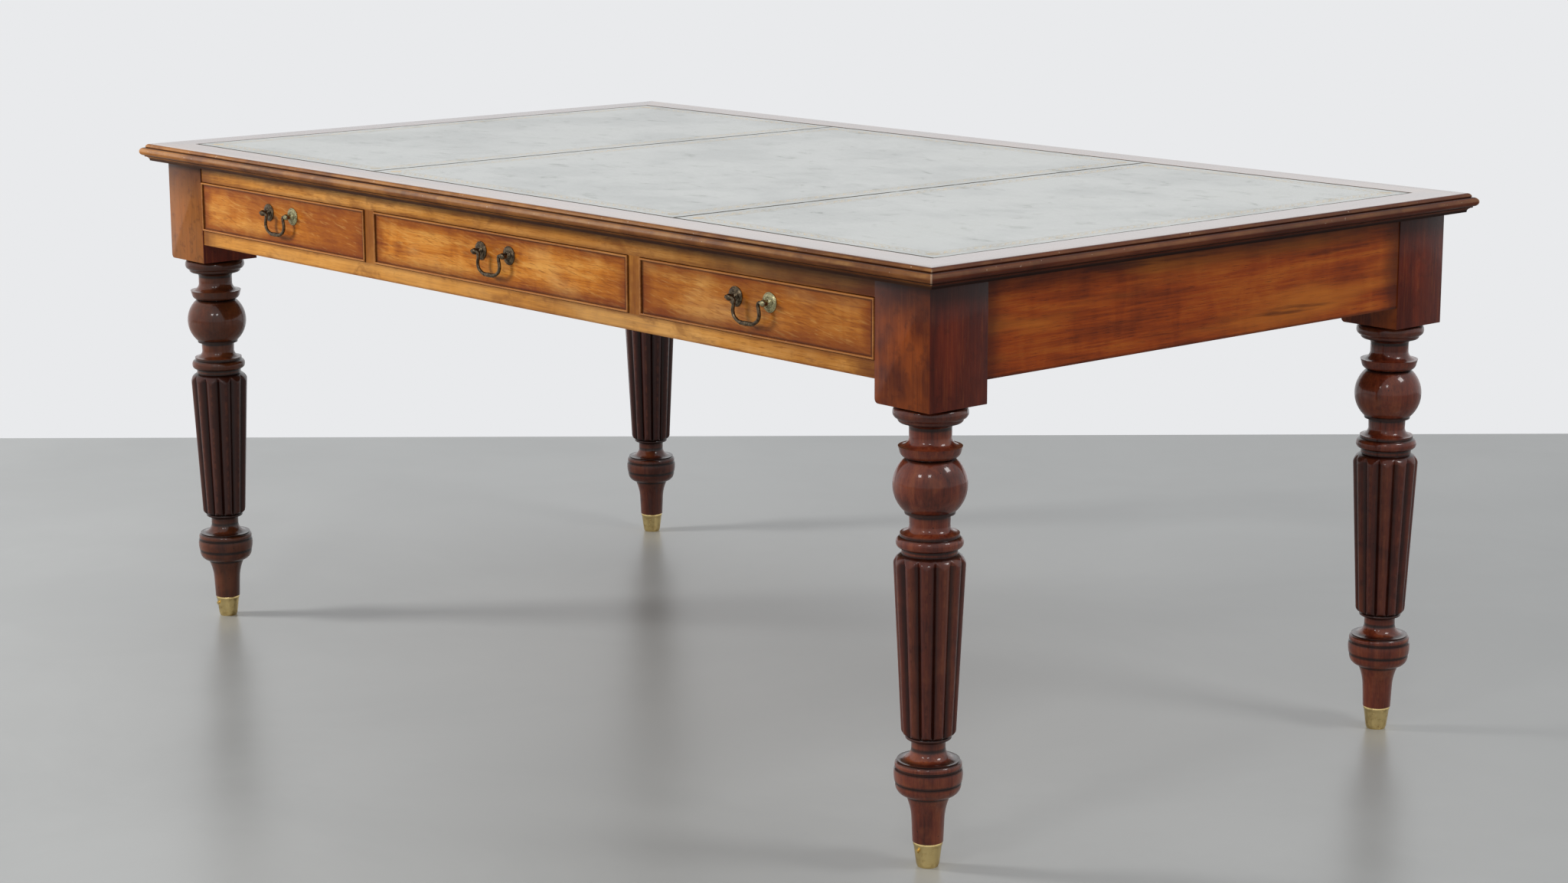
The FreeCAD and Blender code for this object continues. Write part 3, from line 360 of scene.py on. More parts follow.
def block_tone(graph, place, on_left, spot, fine):
    """A leg's square block: warm on its faces along the table, and plum and darker on those
    across it, partly as painted shade; painted shade also darkens it towards the top.
    """
    x, y, z = graph.split(place)
    upright = graph.noise(graph.vector(x * 60, y * 60, z * 6))
    cloud = graph.noise(graph.vector(x * 16, y * 16, z * 11), 1, 3, 0.55)
    hair = graph.noise(graph.vector(x * 210, y * 210, z * 13), 1, 3, 0.65)
    across = abs(abs(x) - LEG_X).above(BLOCK_HALF - 0.0006)
    warm = graph.layered((84, 32, 15), (cloud.rise(0.38, 0.68), (146, 68, 20)),
                         (on_left * 0.72, (158, 98, 42)))
    # The faces across the table, plum and darker, partly as painted shade.
    plum = graph.layered((84, 28, 18), (upright.rise(0.22, 0.80), (122, 46, 24)),
                         (cloud.rise(0.42, 0.66) * 0.6, (70, 22, 16)))
    return graph.layered(
        graph.mix(across, warm, plum),
        (hair.rise(0.52, 0.72) * 0.20, (176, 96, 44)),
        (hair.rise(0.48, 0.30) * 0.25, (48, 17, 10)),
        (fine.rise(0.46, 0.30) * 0.30, (54, 19, 12)),
        # Painted shade towards the top of the block, under the top.
        ((z + (spot - 0.5) * 0.03).rise(0.680, 0.738) * 0.72, (48, 25, 21)),
        (upright.rise(0.45, 0.28) * 0.25, (66, 24, 13)))


def leg_age_and_painted_shade(graph, place):
    """Painted shade in a leg's quirks, between its reeds and on the back left leg, a few worm holes,
    and its block's own tones.
    """
    x, y, z = graph.split(place)
    spot = graph.noise(place, 24)
    fine = graph.noise(place, 90)
    worm = graph.node("ShaderNodeTexVoronoi", {"Vector": place, "Scale": 58.0})
    on_left = x.rise(0.3, -0.3)
    column = z.rise(0.150, 0.175) * z.rise(0.408, 0.398)
    radius = ((abs(x) - LEG_X) ** 2 + (abs(y) - LEG_Y) ** 2) ** 0.5
    sunk = (REED_RADIUS + (z - REED_FOOT) * REED_TAPER - radius) / REED_DEPTH
    reeded = z.above(REED_FOOT + 0.001) * (REED_HEAD - 0.009 - z).above(0)
    rubbed = sunk.rise(0.07, 0.0) * reeded * fine.rise(0.42, 0.62)
    quirk = sunk.rise(0.10, 0.75) * reeded * 0.75
    for height in LEG_QUIRKS:
        quirk = abs(z - height).rise(0.0040, 0.0008).most(quirk)
    block = block_tone(graph, place, on_left, spot, fine)
    return [
        (spot.rise(0.50, 0.72) * 0.5, (148, 78, 44)),
        # The back left leg darker, as painted shade.
        (on_left * y.rise(0.0, 0.4) * 0.52, (36, 18, 11)),
        (on_left * y.rise(0.0, -0.4) * 0.58, (74, 43, 21)),
        (spot.rise(0.46, 0.28) * 0.6, (58, 20, 13)),
        (column * (0.46 + on_left * 0.30), (54, 22, 19)),
        (z.rise(0.560, 0.574) * 0.45, (38, 15, 11)),
        (rubbed * 0.25, (136, 74, 46)),
        # Painted shade in the quirks and between the reeds.
        (quirk * (0.68 + fine * 0.3), (18, 7, 5)),
        (worm.rise(0.055, 0.040), (16, 6, 4)),
        (z.rise(BLOCK_LOW - 0.0013, BLOCK_LOW + 0.0003), block)]


def leg_coat(x, y, z):
    """The turning is glossier than its block, and a little less so on its reeds."""
    reeded = z.rise(0.165, 0.175) * z.rise(0.412, 0.402)
    on_block = z.rise(BLOCK_LOW - 0.0025, BLOCK_LOW + 0.0005)
    return TURNING_COAT - reeded * 0.12 - on_block * (TURNING_COAT - BLOCK_COAT)


def border_age_and_painted_shade(graph, place):
    """Painted shade in the moulding's hollows, rubbed and nicked crests, and a pale arris at each
    mitre.
    """
    x, y, z = graph.split(place)
    spot = graph.noise(place, 20)
    fine = graph.noise(place, 210, 2, 0.5)
    out_x, out_y = abs(x) - FLAT_X, abs(y) - FLAT_Y
    hollow = z.rise(COVE + 0.0013, COVE - 0.0013).most(abs(z - BEAD_QUIRK).rise(0.0009, 0.0002))
    hollow = hollow.most(abs(z - FILLET).rise(0.0014, 0.0003))
    crest = abs(z - EDGE_CREST).rise(0.0022, 0.0004)
    crest = abs(z - BEAD_CREST).rise(0.0036, 0.0008).most(crest)
    mitre = abs(out_x - out_y).rise(0.0026, 0.0004) * out_x.rise(0.0030, 0.0065)
    long_side = out_y.above(0.0005) * out_y.above(out_x)
    return [
        (x.rise(-0.3, 0.8) * 0.45, (84, 40, 22)),
        (crest * (0.08 + spot.rise(0.40, 0.66) * (0.12 + long_side * 0.28)), RUBBED),
        (crest * fine.rise(0.70, 0.76) * 0.8, (226, 204, 180)),
        (mitre * spot.rise(0.25, 0.5) * 0.6, (206, 170, 140)),
        (z.rise(*FLAT_EDGE) * 0.55, (112, 82, 58)),
        # Painted shade in the hollows.
        (hollow * 0.88, SHADE_AND_GRIME)]


def border_coat(x, y, z):
    """The flat keeps all its polish, and the moulding some along its crests, less to the right."""
    crests = (abs(z - BEAD_SHINE).rise(0.0032, 0.0012) * 0.75
              + abs(z - EDGE_SHINE).rise(0.0022, 0.0008) * 0.5)
    worn_off = x.rise(0.35, 0.80) * 0.8
    return crests * (1 - worn_off) + 0.03 + z.rise(0.750, 0.756) * 0.04 + z.rise(*FLAT_EDGE) * 0.93


def drawer_lining(name, middle, half, side):
    """Bare wood with the ends of the front's dovetails showing on the drawer's sides."""
    def worn(graph, place):
        x, y, z = graph.split(place)
        behind = (LAP_Y - y * side) / LAP_DEEP
        on_side = abs(abs(x - middle) - half).rise(0.0012, 0.0008)
        lapped = behind.above(0) * (1 - behind).above(0) * on_side
        along = ((z - (DRAWER_LEVEL - FACE_HALF_HIGH)) / TAIL_PITCH).maths("FRACT")
        pin = (abs(along - 0.5) + behind * 0.07).rise(0.455, 0.475)
        return [(lapped * pin, (140, 78, 34))]
    return wood(name, LINING_TONES, "y", BARE, 0.8, middle, worn)


GOLD, GREEN, GREEN_DEEP = (214, 178, 104), (122, 128, 114), (96, 104, 92)
GILT_IN, GILT_HALF = 0.026, 0.0095  # how far in the gilt band lies, and half its width
GILT_REPEAT, GILT_SWING = 0.026, 0.0046  # its waves


def leather(name, left, right):
    """Faded green leather with a worn gilt border, a rosette in each corner of its panel, dark seams,
    and painted shade along its edges where it meets the border.
    """
    half_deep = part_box("leather_middle")[1][1]
    middle, half = (left + right) / 2, (right - left) / 2
    seam = 0.0026 if middle == 0 else 0.0040

    def shade(graph, place):
        x, y, _ = graph.split(place)
        from_ends = half - abs(x - middle)
        from_sides = half_deep - abs(y)
        band = from_ends.least(from_sides) - GILT_IN
        nearer_end = from_sides.above(from_ends)
        along = y * nearer_end + (x - middle) * (1 - nearer_end)

        def wave(length):
            return (along * (2 * math.pi / length)).maths("SINE")

        def edge_lines(width):
            return abs(abs(band) - GILT_HALF).rise(width, width * 0.4)

        swing = wave(GILT_REPEAT) * GILT_SWING
        scroll = abs(band - swing).rise(0.0012, 0.0004)
        counter = abs(band + swing).rise(0.0012, 0.0004)
        dots = (abs(band) * 200 + (1 - wave(GILT_REPEAT / 2)) * 0.6).rise(0.55, 0.25)
        ornament = scroll.most(counter * 0.8).most(dots) * abs(band).rise(0.0078, 0.0070)
        rosette = (abs(from_ends - GILT_IN) + abs(from_sides - GILT_IN)).rise(0.0125, 0.0085)
        ornament = ornament.most(rosette)
        tooled = edge_lines(0.0014).most(ornament)
        rub = graph.noise(place, 26, 3, 0.65)
        gilt = ornament.most(edge_lines(0.0008)) * (0.4 + rub.rise(0.38, 0.58) * 0.6)
        joint = from_ends.rise(seam, seam * 0.7) * (0.4 + rub.rise(0.3, 0.5) * 0.6)
        # Painted shade along the edges by the border, and the dark seams.
        rim = from_sides.rise(0.0062, 0.0044).most(joint)
        cloud = graph.noise(place, 5, 4, 0.62)
        pebble = graph.noise(place, 900, 2, 0.5)
        brushed = graph.noise(graph.mapped(place, (9, 24, 9)), 1, 5, 0.72, 1.2)
        scuff = graph.noise(graph.mapped(place, (20, 34, 9)), 1, 5, 0.75, 0.6)
        colour = graph.layered(
            GREEN_DEEP,
            (cloud.rise(0.32, 0.70), GREEN),
            (brushed.rise(0.48, 0.70) * 0.3, (142, 148, 138)),
            (scuff.rise(0.66, 0.76) * 0.5, (70, 80, 74)),
            (gilt, GOLD),
            (tooled * 0.15, (66, 62, 44)),
            (rim * 0.9, (52, 38, 22)))
        rough = (0.36 + (cloud - 0.5) * 0.2 + (pebble - 0.5) * 0.1
                 + scuff.rise(0.60, 0.76) * 0.2 + rim * 0.5)
        coat = (1 - rim - tooled * 0.55
                - scuff.rise(0.53, 0.70) * 0.32 - cloud.rise(0.58, 0.36) * 0.20)
        return {"Base Color": colour, "Roughness": rough, "Metallic": gilt * 0.5,
                "Coat Weight": coat, "Relief": (pebble * 0.12 - tooled * 0.5, 0.0002)}
    return finish(name, shade, {"Coat Roughness": 0.22, "Coat IOR": 1.75})


def bronze(name, pale_from=None):
    """Dark patinated bronze. Beyond pale_from, a place and a direction along X, it stays brassy."""
    def shade(graph, place):
        mottle = graph.noise(place, 260)
        fine = graph.noise(place, 800, 2, 0.5)
        colour = graph.layered(
            (70, 58, 46),
            (mottle.rise(0.34, 0.66), (118, 102, 80)),
            (fine.rise(0.58, 0.72) * 0.28, (100, 106, 94)))
        if pale_from is not None:
            centre, direction = pale_from
            beyond = ((graph.split(place)[0] - centre) * direction).rise(-0.002, 0.002)
            colour = graph.mix(beyond * fine.rise(0.72, 0.40) * 0.8, colour, (206, 200, 152))
        return {"Base Color": colour, "Roughness": 0.30 + (mottle - 0.5) * 0.2,
                "Relief": (mottle, 0.00005)}
    return finish(name, shade, {"Metallic": 0.9})


def brass(name):
    """Polished brass with faint tarnish and turning marks."""
    def shade(graph, place):
        tarnish = graph.noise(place, 120)
        marks = graph.noise(graph.mapped(place, (60, 60, 2400)), 1, 2, 0.5)
        colour = graph.mix(tarnish.rise(0.45, 0.75) * 0.55, (228, 202, 140), (170, 140, 84))
        rough = 0.24 + (tarnish - 0.5) * 0.2 + (marks - 0.5) * 0.1
        return {"Base Color": colour, "Roughness": rough, "Relief": (marks, 0.00004)}
    return finish(name, shade, {"Metallic": 1.0})


def stained_metal(name, tone):
    """The metal of a screw, stained brown in places."""
    def shade(graph, place):
        stain = graph.noise(place, 400)
        colour = graph.mix(stain.rise(0.4, 0.7), tone, (60, 50, 42))
        return {"Base Color": colour, "Roughness": 0.4 + (stain - 0.5) * 0.2}
    return finish(name, shade, {"Metallic": 1.0})


# Outlines and geometry trees

class Profile:
    """A line of points in mm: how far out and how far up. A positive bend swells outwards."""

    def __init__(self, out, up, arc_steps=6):
        self.points = [(out, up)]
        self.arc_steps = arc_steps

    def to(self, out, up, bend=0):
        start = Vector(self.points[-1])
        end = Vector((out, up))
        if bend:
            chord = (end - start).length
            radius = chord * (1 / (8 * abs(bend)) + abs(bend) / 2)
            turned = math.copysign(4 * math.atan(2 * abs(bend)), bend)
            along = (end - start) / chord
            left = Vector((-along.y, along.x))
            centre = (start + end) / 2 + left * (chord * bend - math.copysign(radius, bend))
            first = math.atan2(start.y - centre.y, start.x - centre.x)
            for step in range(1, self.arc_steps):
                angle = first - turned * step / self.arc_steps
                self.points.append((centre.x + radius * math.cos(angle),
                                    centre.y + radius * math.sin(angle)))
        self.points.append((out, up))
        return self

    def down(self, out, drop, bend=0):
        return self.to(out, self.points[-1][1] - drop, bend)

    def step(self, out):
        return self.to(out, self.points[-1][1])

    def bead(self, crest, height):
        root = self.points[-1][0]
        self.down(crest, height / 2, QUARTER)
        return self.down(root, height / 2, QUARTER)

    def run(self, pieces, out, up):
        """A straight line in several pieces."""
        start = Vector(self.points[-1])
        end = Vector((out, up))
        for step in range(1, pieces + 1):
            self.points.append(tuple(start.lerp(end, step / pieces)))
        return self

    def mesh(self, name):
        made = bpy.data.meshes.new(name)
        made.from_pydata([(out * MM, 0, up * MM) for out, up in self.points], [], [])
        return made


def geometry_tree(name, numbers, counts=()):
    """An empty geometry tree with named inputs: its graph, and its inputs by name."""
    tree = bpy.data.node_groups.new(name, "GeometryNodeTree")
    kinds = {"Geometry": "Geometry", "Material": "Material",
             **dict.fromkeys(numbers, "Float"), **dict.fromkeys(counts, "Int")}
    for label, kind in kinds.items():
        tree.interface.new_socket(label, in_out="INPUT", socket_type=f"NodeSocket{kind}")
    tree.interface.new_socket("Geometry", in_out="OUTPUT", socket_type="NodeSocketGeometry")
    graph = Graph(tree)
    start = graph.node("NodeGroupInput")
    return graph, {label: start.out(label) for label in kinds}


def end_tree(graph, geometry, given):
    """Real geometry, with crisp edges where it turns sharply, and its material."""
    real = graph.node("GeometryNodeRealizeInstances", {"Geometry": geometry})
    sharp = graph.node("GeometryNodeInputMeshEdgeAngle").above(CRISP)
    smooth = graph.node("GeometryNodeSetShadeSmooth",
                        {"Geometry": real, "Selection": sharp, "Shade Smooth": False}, domain="EDGE")
    made = graph.node("GeometryNodeSetMaterial", {"Geometry": smooth, "Material": given["Material"]})
    graph.node("NodeGroupOutput", {"Geometry": made})
    return graph.tree


def profile_grid(graph, given, pieces):
    """A grid with one column for each point of the profile and a row for each step of the sweep.

    Gives the grid, the number of each point's row, and its distance out and up."""
    count = graph.node("GeometryNodeAttributeDomainSize", {"Geometry": given["Geometry"]},
                       "Point Count", component="MESH")
    grid = graph.node("GeometryNodeMeshGrid", {"Vertices X": pieces + 1, "Vertices Y": count})
    index = graph.node("GeometryNodeInputIndex")
    row = (index / count + 1e-4).maths("FLOOR")
    column = index - row * count
    spot = graph.node("GeometryNodeInputPosition")
    sampled = graph.node("GeometryNodeSampleIndex",
                         {"Geometry": given["Geometry"], "Value": spot, "Index": column + 0.5},
                         data_type="FLOAT_VECTOR")
    out, _, up = graph.split(sampled)
    return grid, row, out, up


def end_grid(graph, grid, position, given):
    """A grid with its points in place, merged where they meet."""
    moved = graph.node("GeometryNodeSetPosition", {"Geometry": grid, "Position": position})
    merged = graph.node("GeometryNodeMergeByDistance", {"Geometry": moved, "Distance": 2e-6})
    return end_tree(graph, merged, given)


def cylinder(graph, sides, radius, depth):
    return graph.node("GeometryNodeMeshCylinder",
                      {"Vertices": sides, "Radius": radius, "Depth": depth})


def raised(graph, geometry, height):
    return graph.node("GeometryNodeTransform",
                      {"Geometry": geometry, "Translation": graph.vector(0, 0, height)})


def turning_tree():
    """A profile turned about Z, with rounded reeds cut between two heights."""
    graph, given = geometry_tree("turning", ("Turn", "Reed depth", "Reed low", "Reed high",
                                             "Low radius", "Taper"), ("Pieces round", "Reeds"))
    grid, row, out, up = profile_grid(graph, given, given["Pieces round"])
    share = row / given["Pieces round"]
    angle = share * (2 * math.pi) + given["Turn"]
    across = (share * given["Reeds"]).maths("FRACT")
    fullness = (across * math.pi).maths("SINE").most(0) ** 0.85
    crest = given["Low radius"] + (up - given["Reed low"]) * given["Taper"]
    reed = crest - given["Reed depth"] * (1 - fullness)
    reeded = up.above(given["Reed low"]) * (given["Reed high"] - up).above(0)
    radius = out + (out.least(reed) - out) * reeded
    position = graph.vector(radius * angle.maths("COSINE"), radius * angle.maths("SINE"), up)
    return end_grid(graph, grid, position, given)


def mitred_tree():
    """A moulded bar along X, its ends cut on the slant of a mitre."""
    graph, given = geometry_tree("mitred bar", ("Half length",), ("Pieces",))
    grid, row, out, up = profile_grid(graph, given, given["Pieces"])
    along = (row / given["Pieces"] * 2 - 1) * (given["Half length"] + out)
    return end_grid(graph, grid, graph.vector(along, out, up), given)


def bail_tree():
    """A bent wire along a line whose corners are rounded; its foot swells between two collars."""
    graph, given = geometry_tree("drop handle", ("Wire", "Swelling", "Swelling half", "Collar", "Foot"))
    corner = graph.node("GeometryNodeInputNamedAttribute", {"Name": "corner"}, data_type="FLOAT")
    curve = graph.node("GeometryNodeMeshToCurve", {"Mesh": given["Geometry"]})
    bent = graph.node("GeometryNodeFilletCurve", {"Curve": curve, "Count": 8, "Radius": corner},
                      mode="POLY")
    even = graph.node("GeometryNodeResampleCurve", {"Curve": bent, "Length": 0.0006}, mode="LENGTH")
    x, _, z = graph.split(graph.node("GeometryNodeInputPosition"))
    wire, half = given["Wire"], given["Swelling half"]
    beyond = abs(x) - half
    low = z.rise(given["Foot"] + 0.0045, given["Foot"] + 0.002)
    hump = (1 - (abs(x) / half) ** 2).most(0) * (given["Swelling"] - wire)
    collar = abs(beyond).rise(0.0013, 0.0008) * (given["Collar"] - wire)
    shoulder = beyond.rise(0.0075, 0.0) * beyond.above(0) * 0.00035
    radius = wire + hump.most(collar).most(shoulder) * low
    ring = graph.node("GeometryNodeCurvePrimitiveCircle", {"Resolution": 20, "Radius": 1.0},
                      mode="RADIUS")
    rod = graph.node("GeometryNodeCurveToMesh",
                     {"Curve": even, "Profile Curve": ring, "Scale": radius, "Fill Caps": True})
    return end_tree(graph, rod, given)


def screw_tree():
    """A slotted screw, its head at each point and its shank along -Z before it is turned."""
    graph, given = geometry_tree("slotted screws", ("Head", "Core", "Length"))
    wide, length = given["Head"], given["Length"]
    head_high = wide * 0.5
    slot = graph.node("GeometryNodeMeshCube", {"Size": graph.vector(wide * 3, wide * 0.26, head_high)})
    cut = graph.node("GeometryNodeMeshBoolean",
                     {"Mesh 1": cylinder(graph, 32, wide, head_high),
                      "Mesh 2": raised(graph, slot, head_high * 0.5)}, operation="DIFFERENCE")
    shank = raised(graph, cylinder(graph, 16, given["Core"], length - head_high),
                   (length + head_high) * -0.5)
    screw = graph.node("GeometryNodeJoinGeometry", {"Geometry": raised(graph, cut, head_high * -0.5)})
    graph.tree.links.new(shank.socket, screw.socket.node.inputs["Geometry"])
    turn = graph.node("GeometryNodeInputNamedAttribute", {"Name": "turn"}, data_type="FLOAT_VECTOR")
    facing = graph.node("FunctionNodeEulerToRotation", {"Euler": turn})
    screws = graph.node("GeometryNodeInstanceOnPoints",
                        {"Points": given["Geometry"], "Instance": screw, "Rotation": facing})
    return end_tree(graph, screws, given)


def bored_tree():
    """A solid with a round hole bored into it along the Y axis."""
    graph, given = geometry_tree("bored", ("Bore", "From", "Depth", "Level"))
    middle = graph.vector(0, given["From"] - given["Depth"] * 0.5, given["Level"])
    drill = graph.node("GeometryNodeTransform",
                       {"Geometry": cylinder(graph, 32, given["Bore"], given["Depth"]),
                        "Translation": middle, "Rotation": (math.pi / 2, 0, 0)})
    bored = graph.node("GeometryNodeMeshBoolean", {"Mesh 1": given["Geometry"], "Mesh 2": drill},
                       operation="DIFFERENCE")
    return end_tree(graph, bored, given)


def placed(name, data):
    """A new object in the scene."""
    made = bpy.data.objects.new(name, data)
    bpy.context.scene.collection.objects.link(made)
    return made


def grown(name, start, tree, values):
    """The plain mesh that a tree makes of a starting mesh."""
    seedling = placed(f"{name}_start", start)
    modifier = seedling.modifiers.new("Tree", "NODES")
    modifier.node_group = tree
    for item in tree.interface.items_tree:
        if item.in_out == "INPUT" and item.name in values:
            modifier[item.identifier] = values[item.name]
    depsgraph = bpy.context.evaluated_depsgraph_get()
    made = bpy.data.meshes.new_from_object(seedling.evaluated_get(depsgraph), depsgraph=depsgraph)
    bpy.data.objects.remove(seedling)
    made.name = name
    made.materials.clear()
    made.materials.append(values["Material"])
    made.polygons.foreach_set("material_index", [0] * len(made.polygons))
    return made


def outward(mesh, close=False):
    """Close a mesh's open ends and point its faces outwards."""
    work = bmesh.new()
    work.from_mesh(mesh)
    if close:
        open_edges = [edge for edge in work.edges if edge.is_boundary]
        bmesh.ops.holes_fill(work, edges=open_edges, sides=0)
        for edge in work.edges:
            if len(edge.link_faces) == 2 and edge.calc_face_angle() > CRISP:
                edge.smooth = False
    bmesh.ops.recalc_face_normals(work, faces=work.faces)
    work.to_mesh(mesh)
    work.free()
    mesh.polygons.foreach_set("use_smooth", [True] * len(mesh.polygons))
    return mesh


def joined(name, meshes):
    """Several meshes as one, with the materials of the first."""
    work = bmesh.new()
    for mesh in meshes:
        work.from_mesh(mesh)
    made = bpy.data.meshes.new(name)
    work.to_mesh(made)
    work.free()
    for shared in meshes[0].materials:
        made.materials.append(shared)
    return made


def eased_box(name, low, high, ease, material, rounded=None, rounding=0.0):
    """A block with its edges slightly taken off; rounded picks those that get a larger radius."""
    work = bmesh.new()
    bmesh.ops.create_cube(work, size=1)
    for vertex in work.verts:
        for axis in range(3):
            vertex.co[axis] = high[axis] if vertex.co[axis] > 0 else low[axis]
    if rounded:
        chosen = [edge for edge in work.edges if rounded(edge.verts[0].co, edge.verts[1].co)]
        bmesh.ops.bevel(work, geom=chosen, offset=rounding, segments=6, profile=0.5, affect="EDGES")
    sharp = [edge for edge in work.edges if edge.calc_face_angle() > 0.5]
    bmesh.ops.bevel(work, geom=sharp, offset=ease, segments=2, profile=0.5, affect="EDGES")
    made = bpy.data.meshes.new(name)
    work.to_mesh(made)
    work.free()
    made.materials.append(material)
    made.polygons.foreach_set("use_smooth", [True] * len(made.polygons))
    made.set_sharp_from_angle(angle=CRISP)
    return made


def piece(name, mesh, body, slot, *replaced):
    """A finished piece: it rides on a body and stands for the nodes that it replaces."""
    made = placed(name, mesh)
    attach(made, body)
    if replaced:
        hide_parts(*replaced)
    return made


def dress(material, *nodes):
    """Give kept nodes their finish."""
    for node in nodes:
        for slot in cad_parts[node].material_slots:
            slot.material = material


TURNING = turning_tree()
MITRED = mitred_tree()
BAIL = bail_tree()
SCREWS = screw_tree()
BORED = bored_tree()


def turned(name, profile, material, pieces=64, **reeds):
    """A profile turned into a closed solid about Z. Without reeds their heights lie far above it."""
    values = {"Material": material, "Pieces round": pieces, "Turn": 0.0, "Reeds": 0,
              "Reed depth": 0.0, "Reed low": 10.0, "Reed high": 10.0, "Low radius": 1.0, "Taper": 0.0}
    values.update({label.replace("_", " "): value for label, value in reeds.items()})
    return outward(grown(name, profile.mesh(f"{name}_profile"), TURNING, values))


def bar(name, profile, material, half_length, pieces):
    """A moulded bar along X, closed and mitred."""
    values = {"Material": material, "Pieces": pieces, "Half length": half_length}
    return outward(grown(name, profile.mesh(f"{name}_profile"), MITRED, values), close=True)


def frame_sides(half_wide, half_deep):
    """The four bars of a mitred frame: each one's half length, and what moves it into place."""
    for quarter in range(4):
        turn = Matrix.Rotation(quarter * math.pi / 2, 4, "Z")
        yield half_wide, turn @ Matrix.Translation((0, half_deep, 0))
        half_wide, half_deep = half_deep, half_wide


# Top

def border_profile():
    """The moulding's section; out is counted from the edge of the flat."""
    section = Profile(-52, 743.5, 8)
    section.to(-52, 750.5).to(-44, 750.5).to(-44, 758.5).to(-52, 758.5)
    section.to(-52, 769.6).to(-51.6, 770)
    section.run(4, 0, 770)
    section.down(5.6, 4.4, EASY)
    section.down(4.8, 1.0)
    section.down(6.8, 0.5)
    section.bead(12.9, 12.4)
    section.down(6.8, 1.8)
    section.to(0.8, 743.5, -QUARTER)
    return section.to(-52, 743.5)


border_x = wood("border_mahogany_long", LONG_BORDER_TONES, "x", TABLE_POLISH, 1.0, 3.1,
                border_age_and_painted_shade, border_coat)
border_y = wood("border_mahogany_end", SHORT_BORDER_TONES, "y", TABLE_POLISH, 1.0, 7.7,
                border_age_and_painted_shade, border_coat)
border_sides = zip(("back", "left", "front", "right"), frame_sides(FLAT_X, FLAT_Y))
for name, (half_length, placing) in border_sides:
    border_wood = border_x if name in SIDES else border_y
    mesh = bar(f"border_{name}", border_profile(), border_wood, half_length, 24)
    mesh.transform(placing)
    piece(f"moulded_border_{name}", mesh, "frame", "border_mahogany", f"top_border_{name}")

for place in ("left", "middle", "right"):
    low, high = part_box(f"leather_{place}")
    dress(leather(f"green_leather_{place}", low[0], high[0]), f"leather_{place}")


# Frieze

rail_x = wood("rail_mahogany", RAIL_TONES, "x", FRENCH_POLISH, 0.9, 1.3, rail_age_and_painted_shade)
rail_y = wood("end_mahogany", END_TONES, "y", FRENCH_POLISH, 0.75, 5.2, end_age_and_painted_shade)
divider_z = wood("divider_mahogany", RAIL_TONES, "z", FRENCH_POLISH, 0.7, 2.2, divider_worn)
carcass_x = wood("carcass_long", CARCASS_TONES, "x", BARE, 1.0, 4.0)
carcass_y = wood("carcass_deep", CARCASS_TONES, "y", BARE, 1.0, 6.0)
dress(rail_x, "top_rail_front", "top_rail_back", "bottom_rail_front", "bottom_rail_back")
dress(rail_y, "end_rail_left", "end_rail_right")
dress(divider_z, "drawer_dividers")
dress(carcass_x, "top_core", "centre_rail", "drawer_stops")
dress(carcass_y, "drawer_runners", "drawer_kickers")
dress(stained_metal("screw_steel", (150, 148, 144)), "top_screws")


# Legs and foot caps

CAP_BORE, SCREW_HEAD = 2.3, 2.2  # radii in mm
SCREW_LEVEL, SCREW_OUT = 0.0226, 0.01646  # a cap screw's height and distance from the leg's axis


def leg_profile():
    """The turning's section from the block down, in mm."""
    half = Profile(0, 598.5)
    half.to(34, 598.5).to(34, 588.5)
    half.step(38).down(46.6, 8.6, QUARTER).down(40.6, 8.6, QUARTER).down(36.5, 5.2, QUARTER)
    half.down(26.4, 5.6, -QUARTER).down(26.4, 13.5)
    half.down(39.8, 10, -QUARTER).down(38.2, 5.5).down(26.8, 9.7, QUARTER)
    half.step(31)
    half.arc_steps = 18
    half.down(32, 65.8, (46.3 - 31.5) / 65.8)
    half.arc_steps = 6
    half.down(31.4, 3.3).step(25.9).down(25.3, 14.2).down(36.9, 9.9, -QUARTER).down(36.9, 4.1)
    half.step(35.8).bead(41.8, 15)
    half.step(34.8).down(34.8, 6.9)
    half.arc_steps = 14
    half.down(44.8, 15.6, EASY)
    half.arc_steps = 6
    half.run(24, 34.6, 180.5)
    half.down(27.4, 9.5, QUARTER)
    half.step(26.7).bead(29, 4.6)
    half.down(21.5, 3, -QUARTER).down(21.5, 10.4)
    half.arc_steps = 10
    half.down(39.3, 13.2, -QUARTER)
    half.arc_steps = 6
    half.down(39.3, 0.8).down(38.7, 0.8).down(41.8, 6.2, QUARTER).down(41.2, 1.7, QUARTER)
    half.step(40.6).down(40.6, 2.3).step(42.7).down(42, 16.8, FLAT)
    half.step(40.6).down(40.6, 1.3).step(41.3).down(28.4, 16.4, QUARTER)
    half.to(20.8, 64, -FLAT).to(19.4, 33)
    return half.to(14.8, 33).to(12.2, 4).to(0, 4)


def cap_profile():
    """The foot cap's section, in mm, from the socket in it to the floor."""
    cup = Profile(0, 4)
    cup.to(12.25, 4).to(14.85, 33).to(17.7, 33)
    cup.down(17.7, 5.5, 0.9 / 5.5)
    return cup.run(6, 14.9, 6).to(12.9, 0, FLAT).to(0, 0)


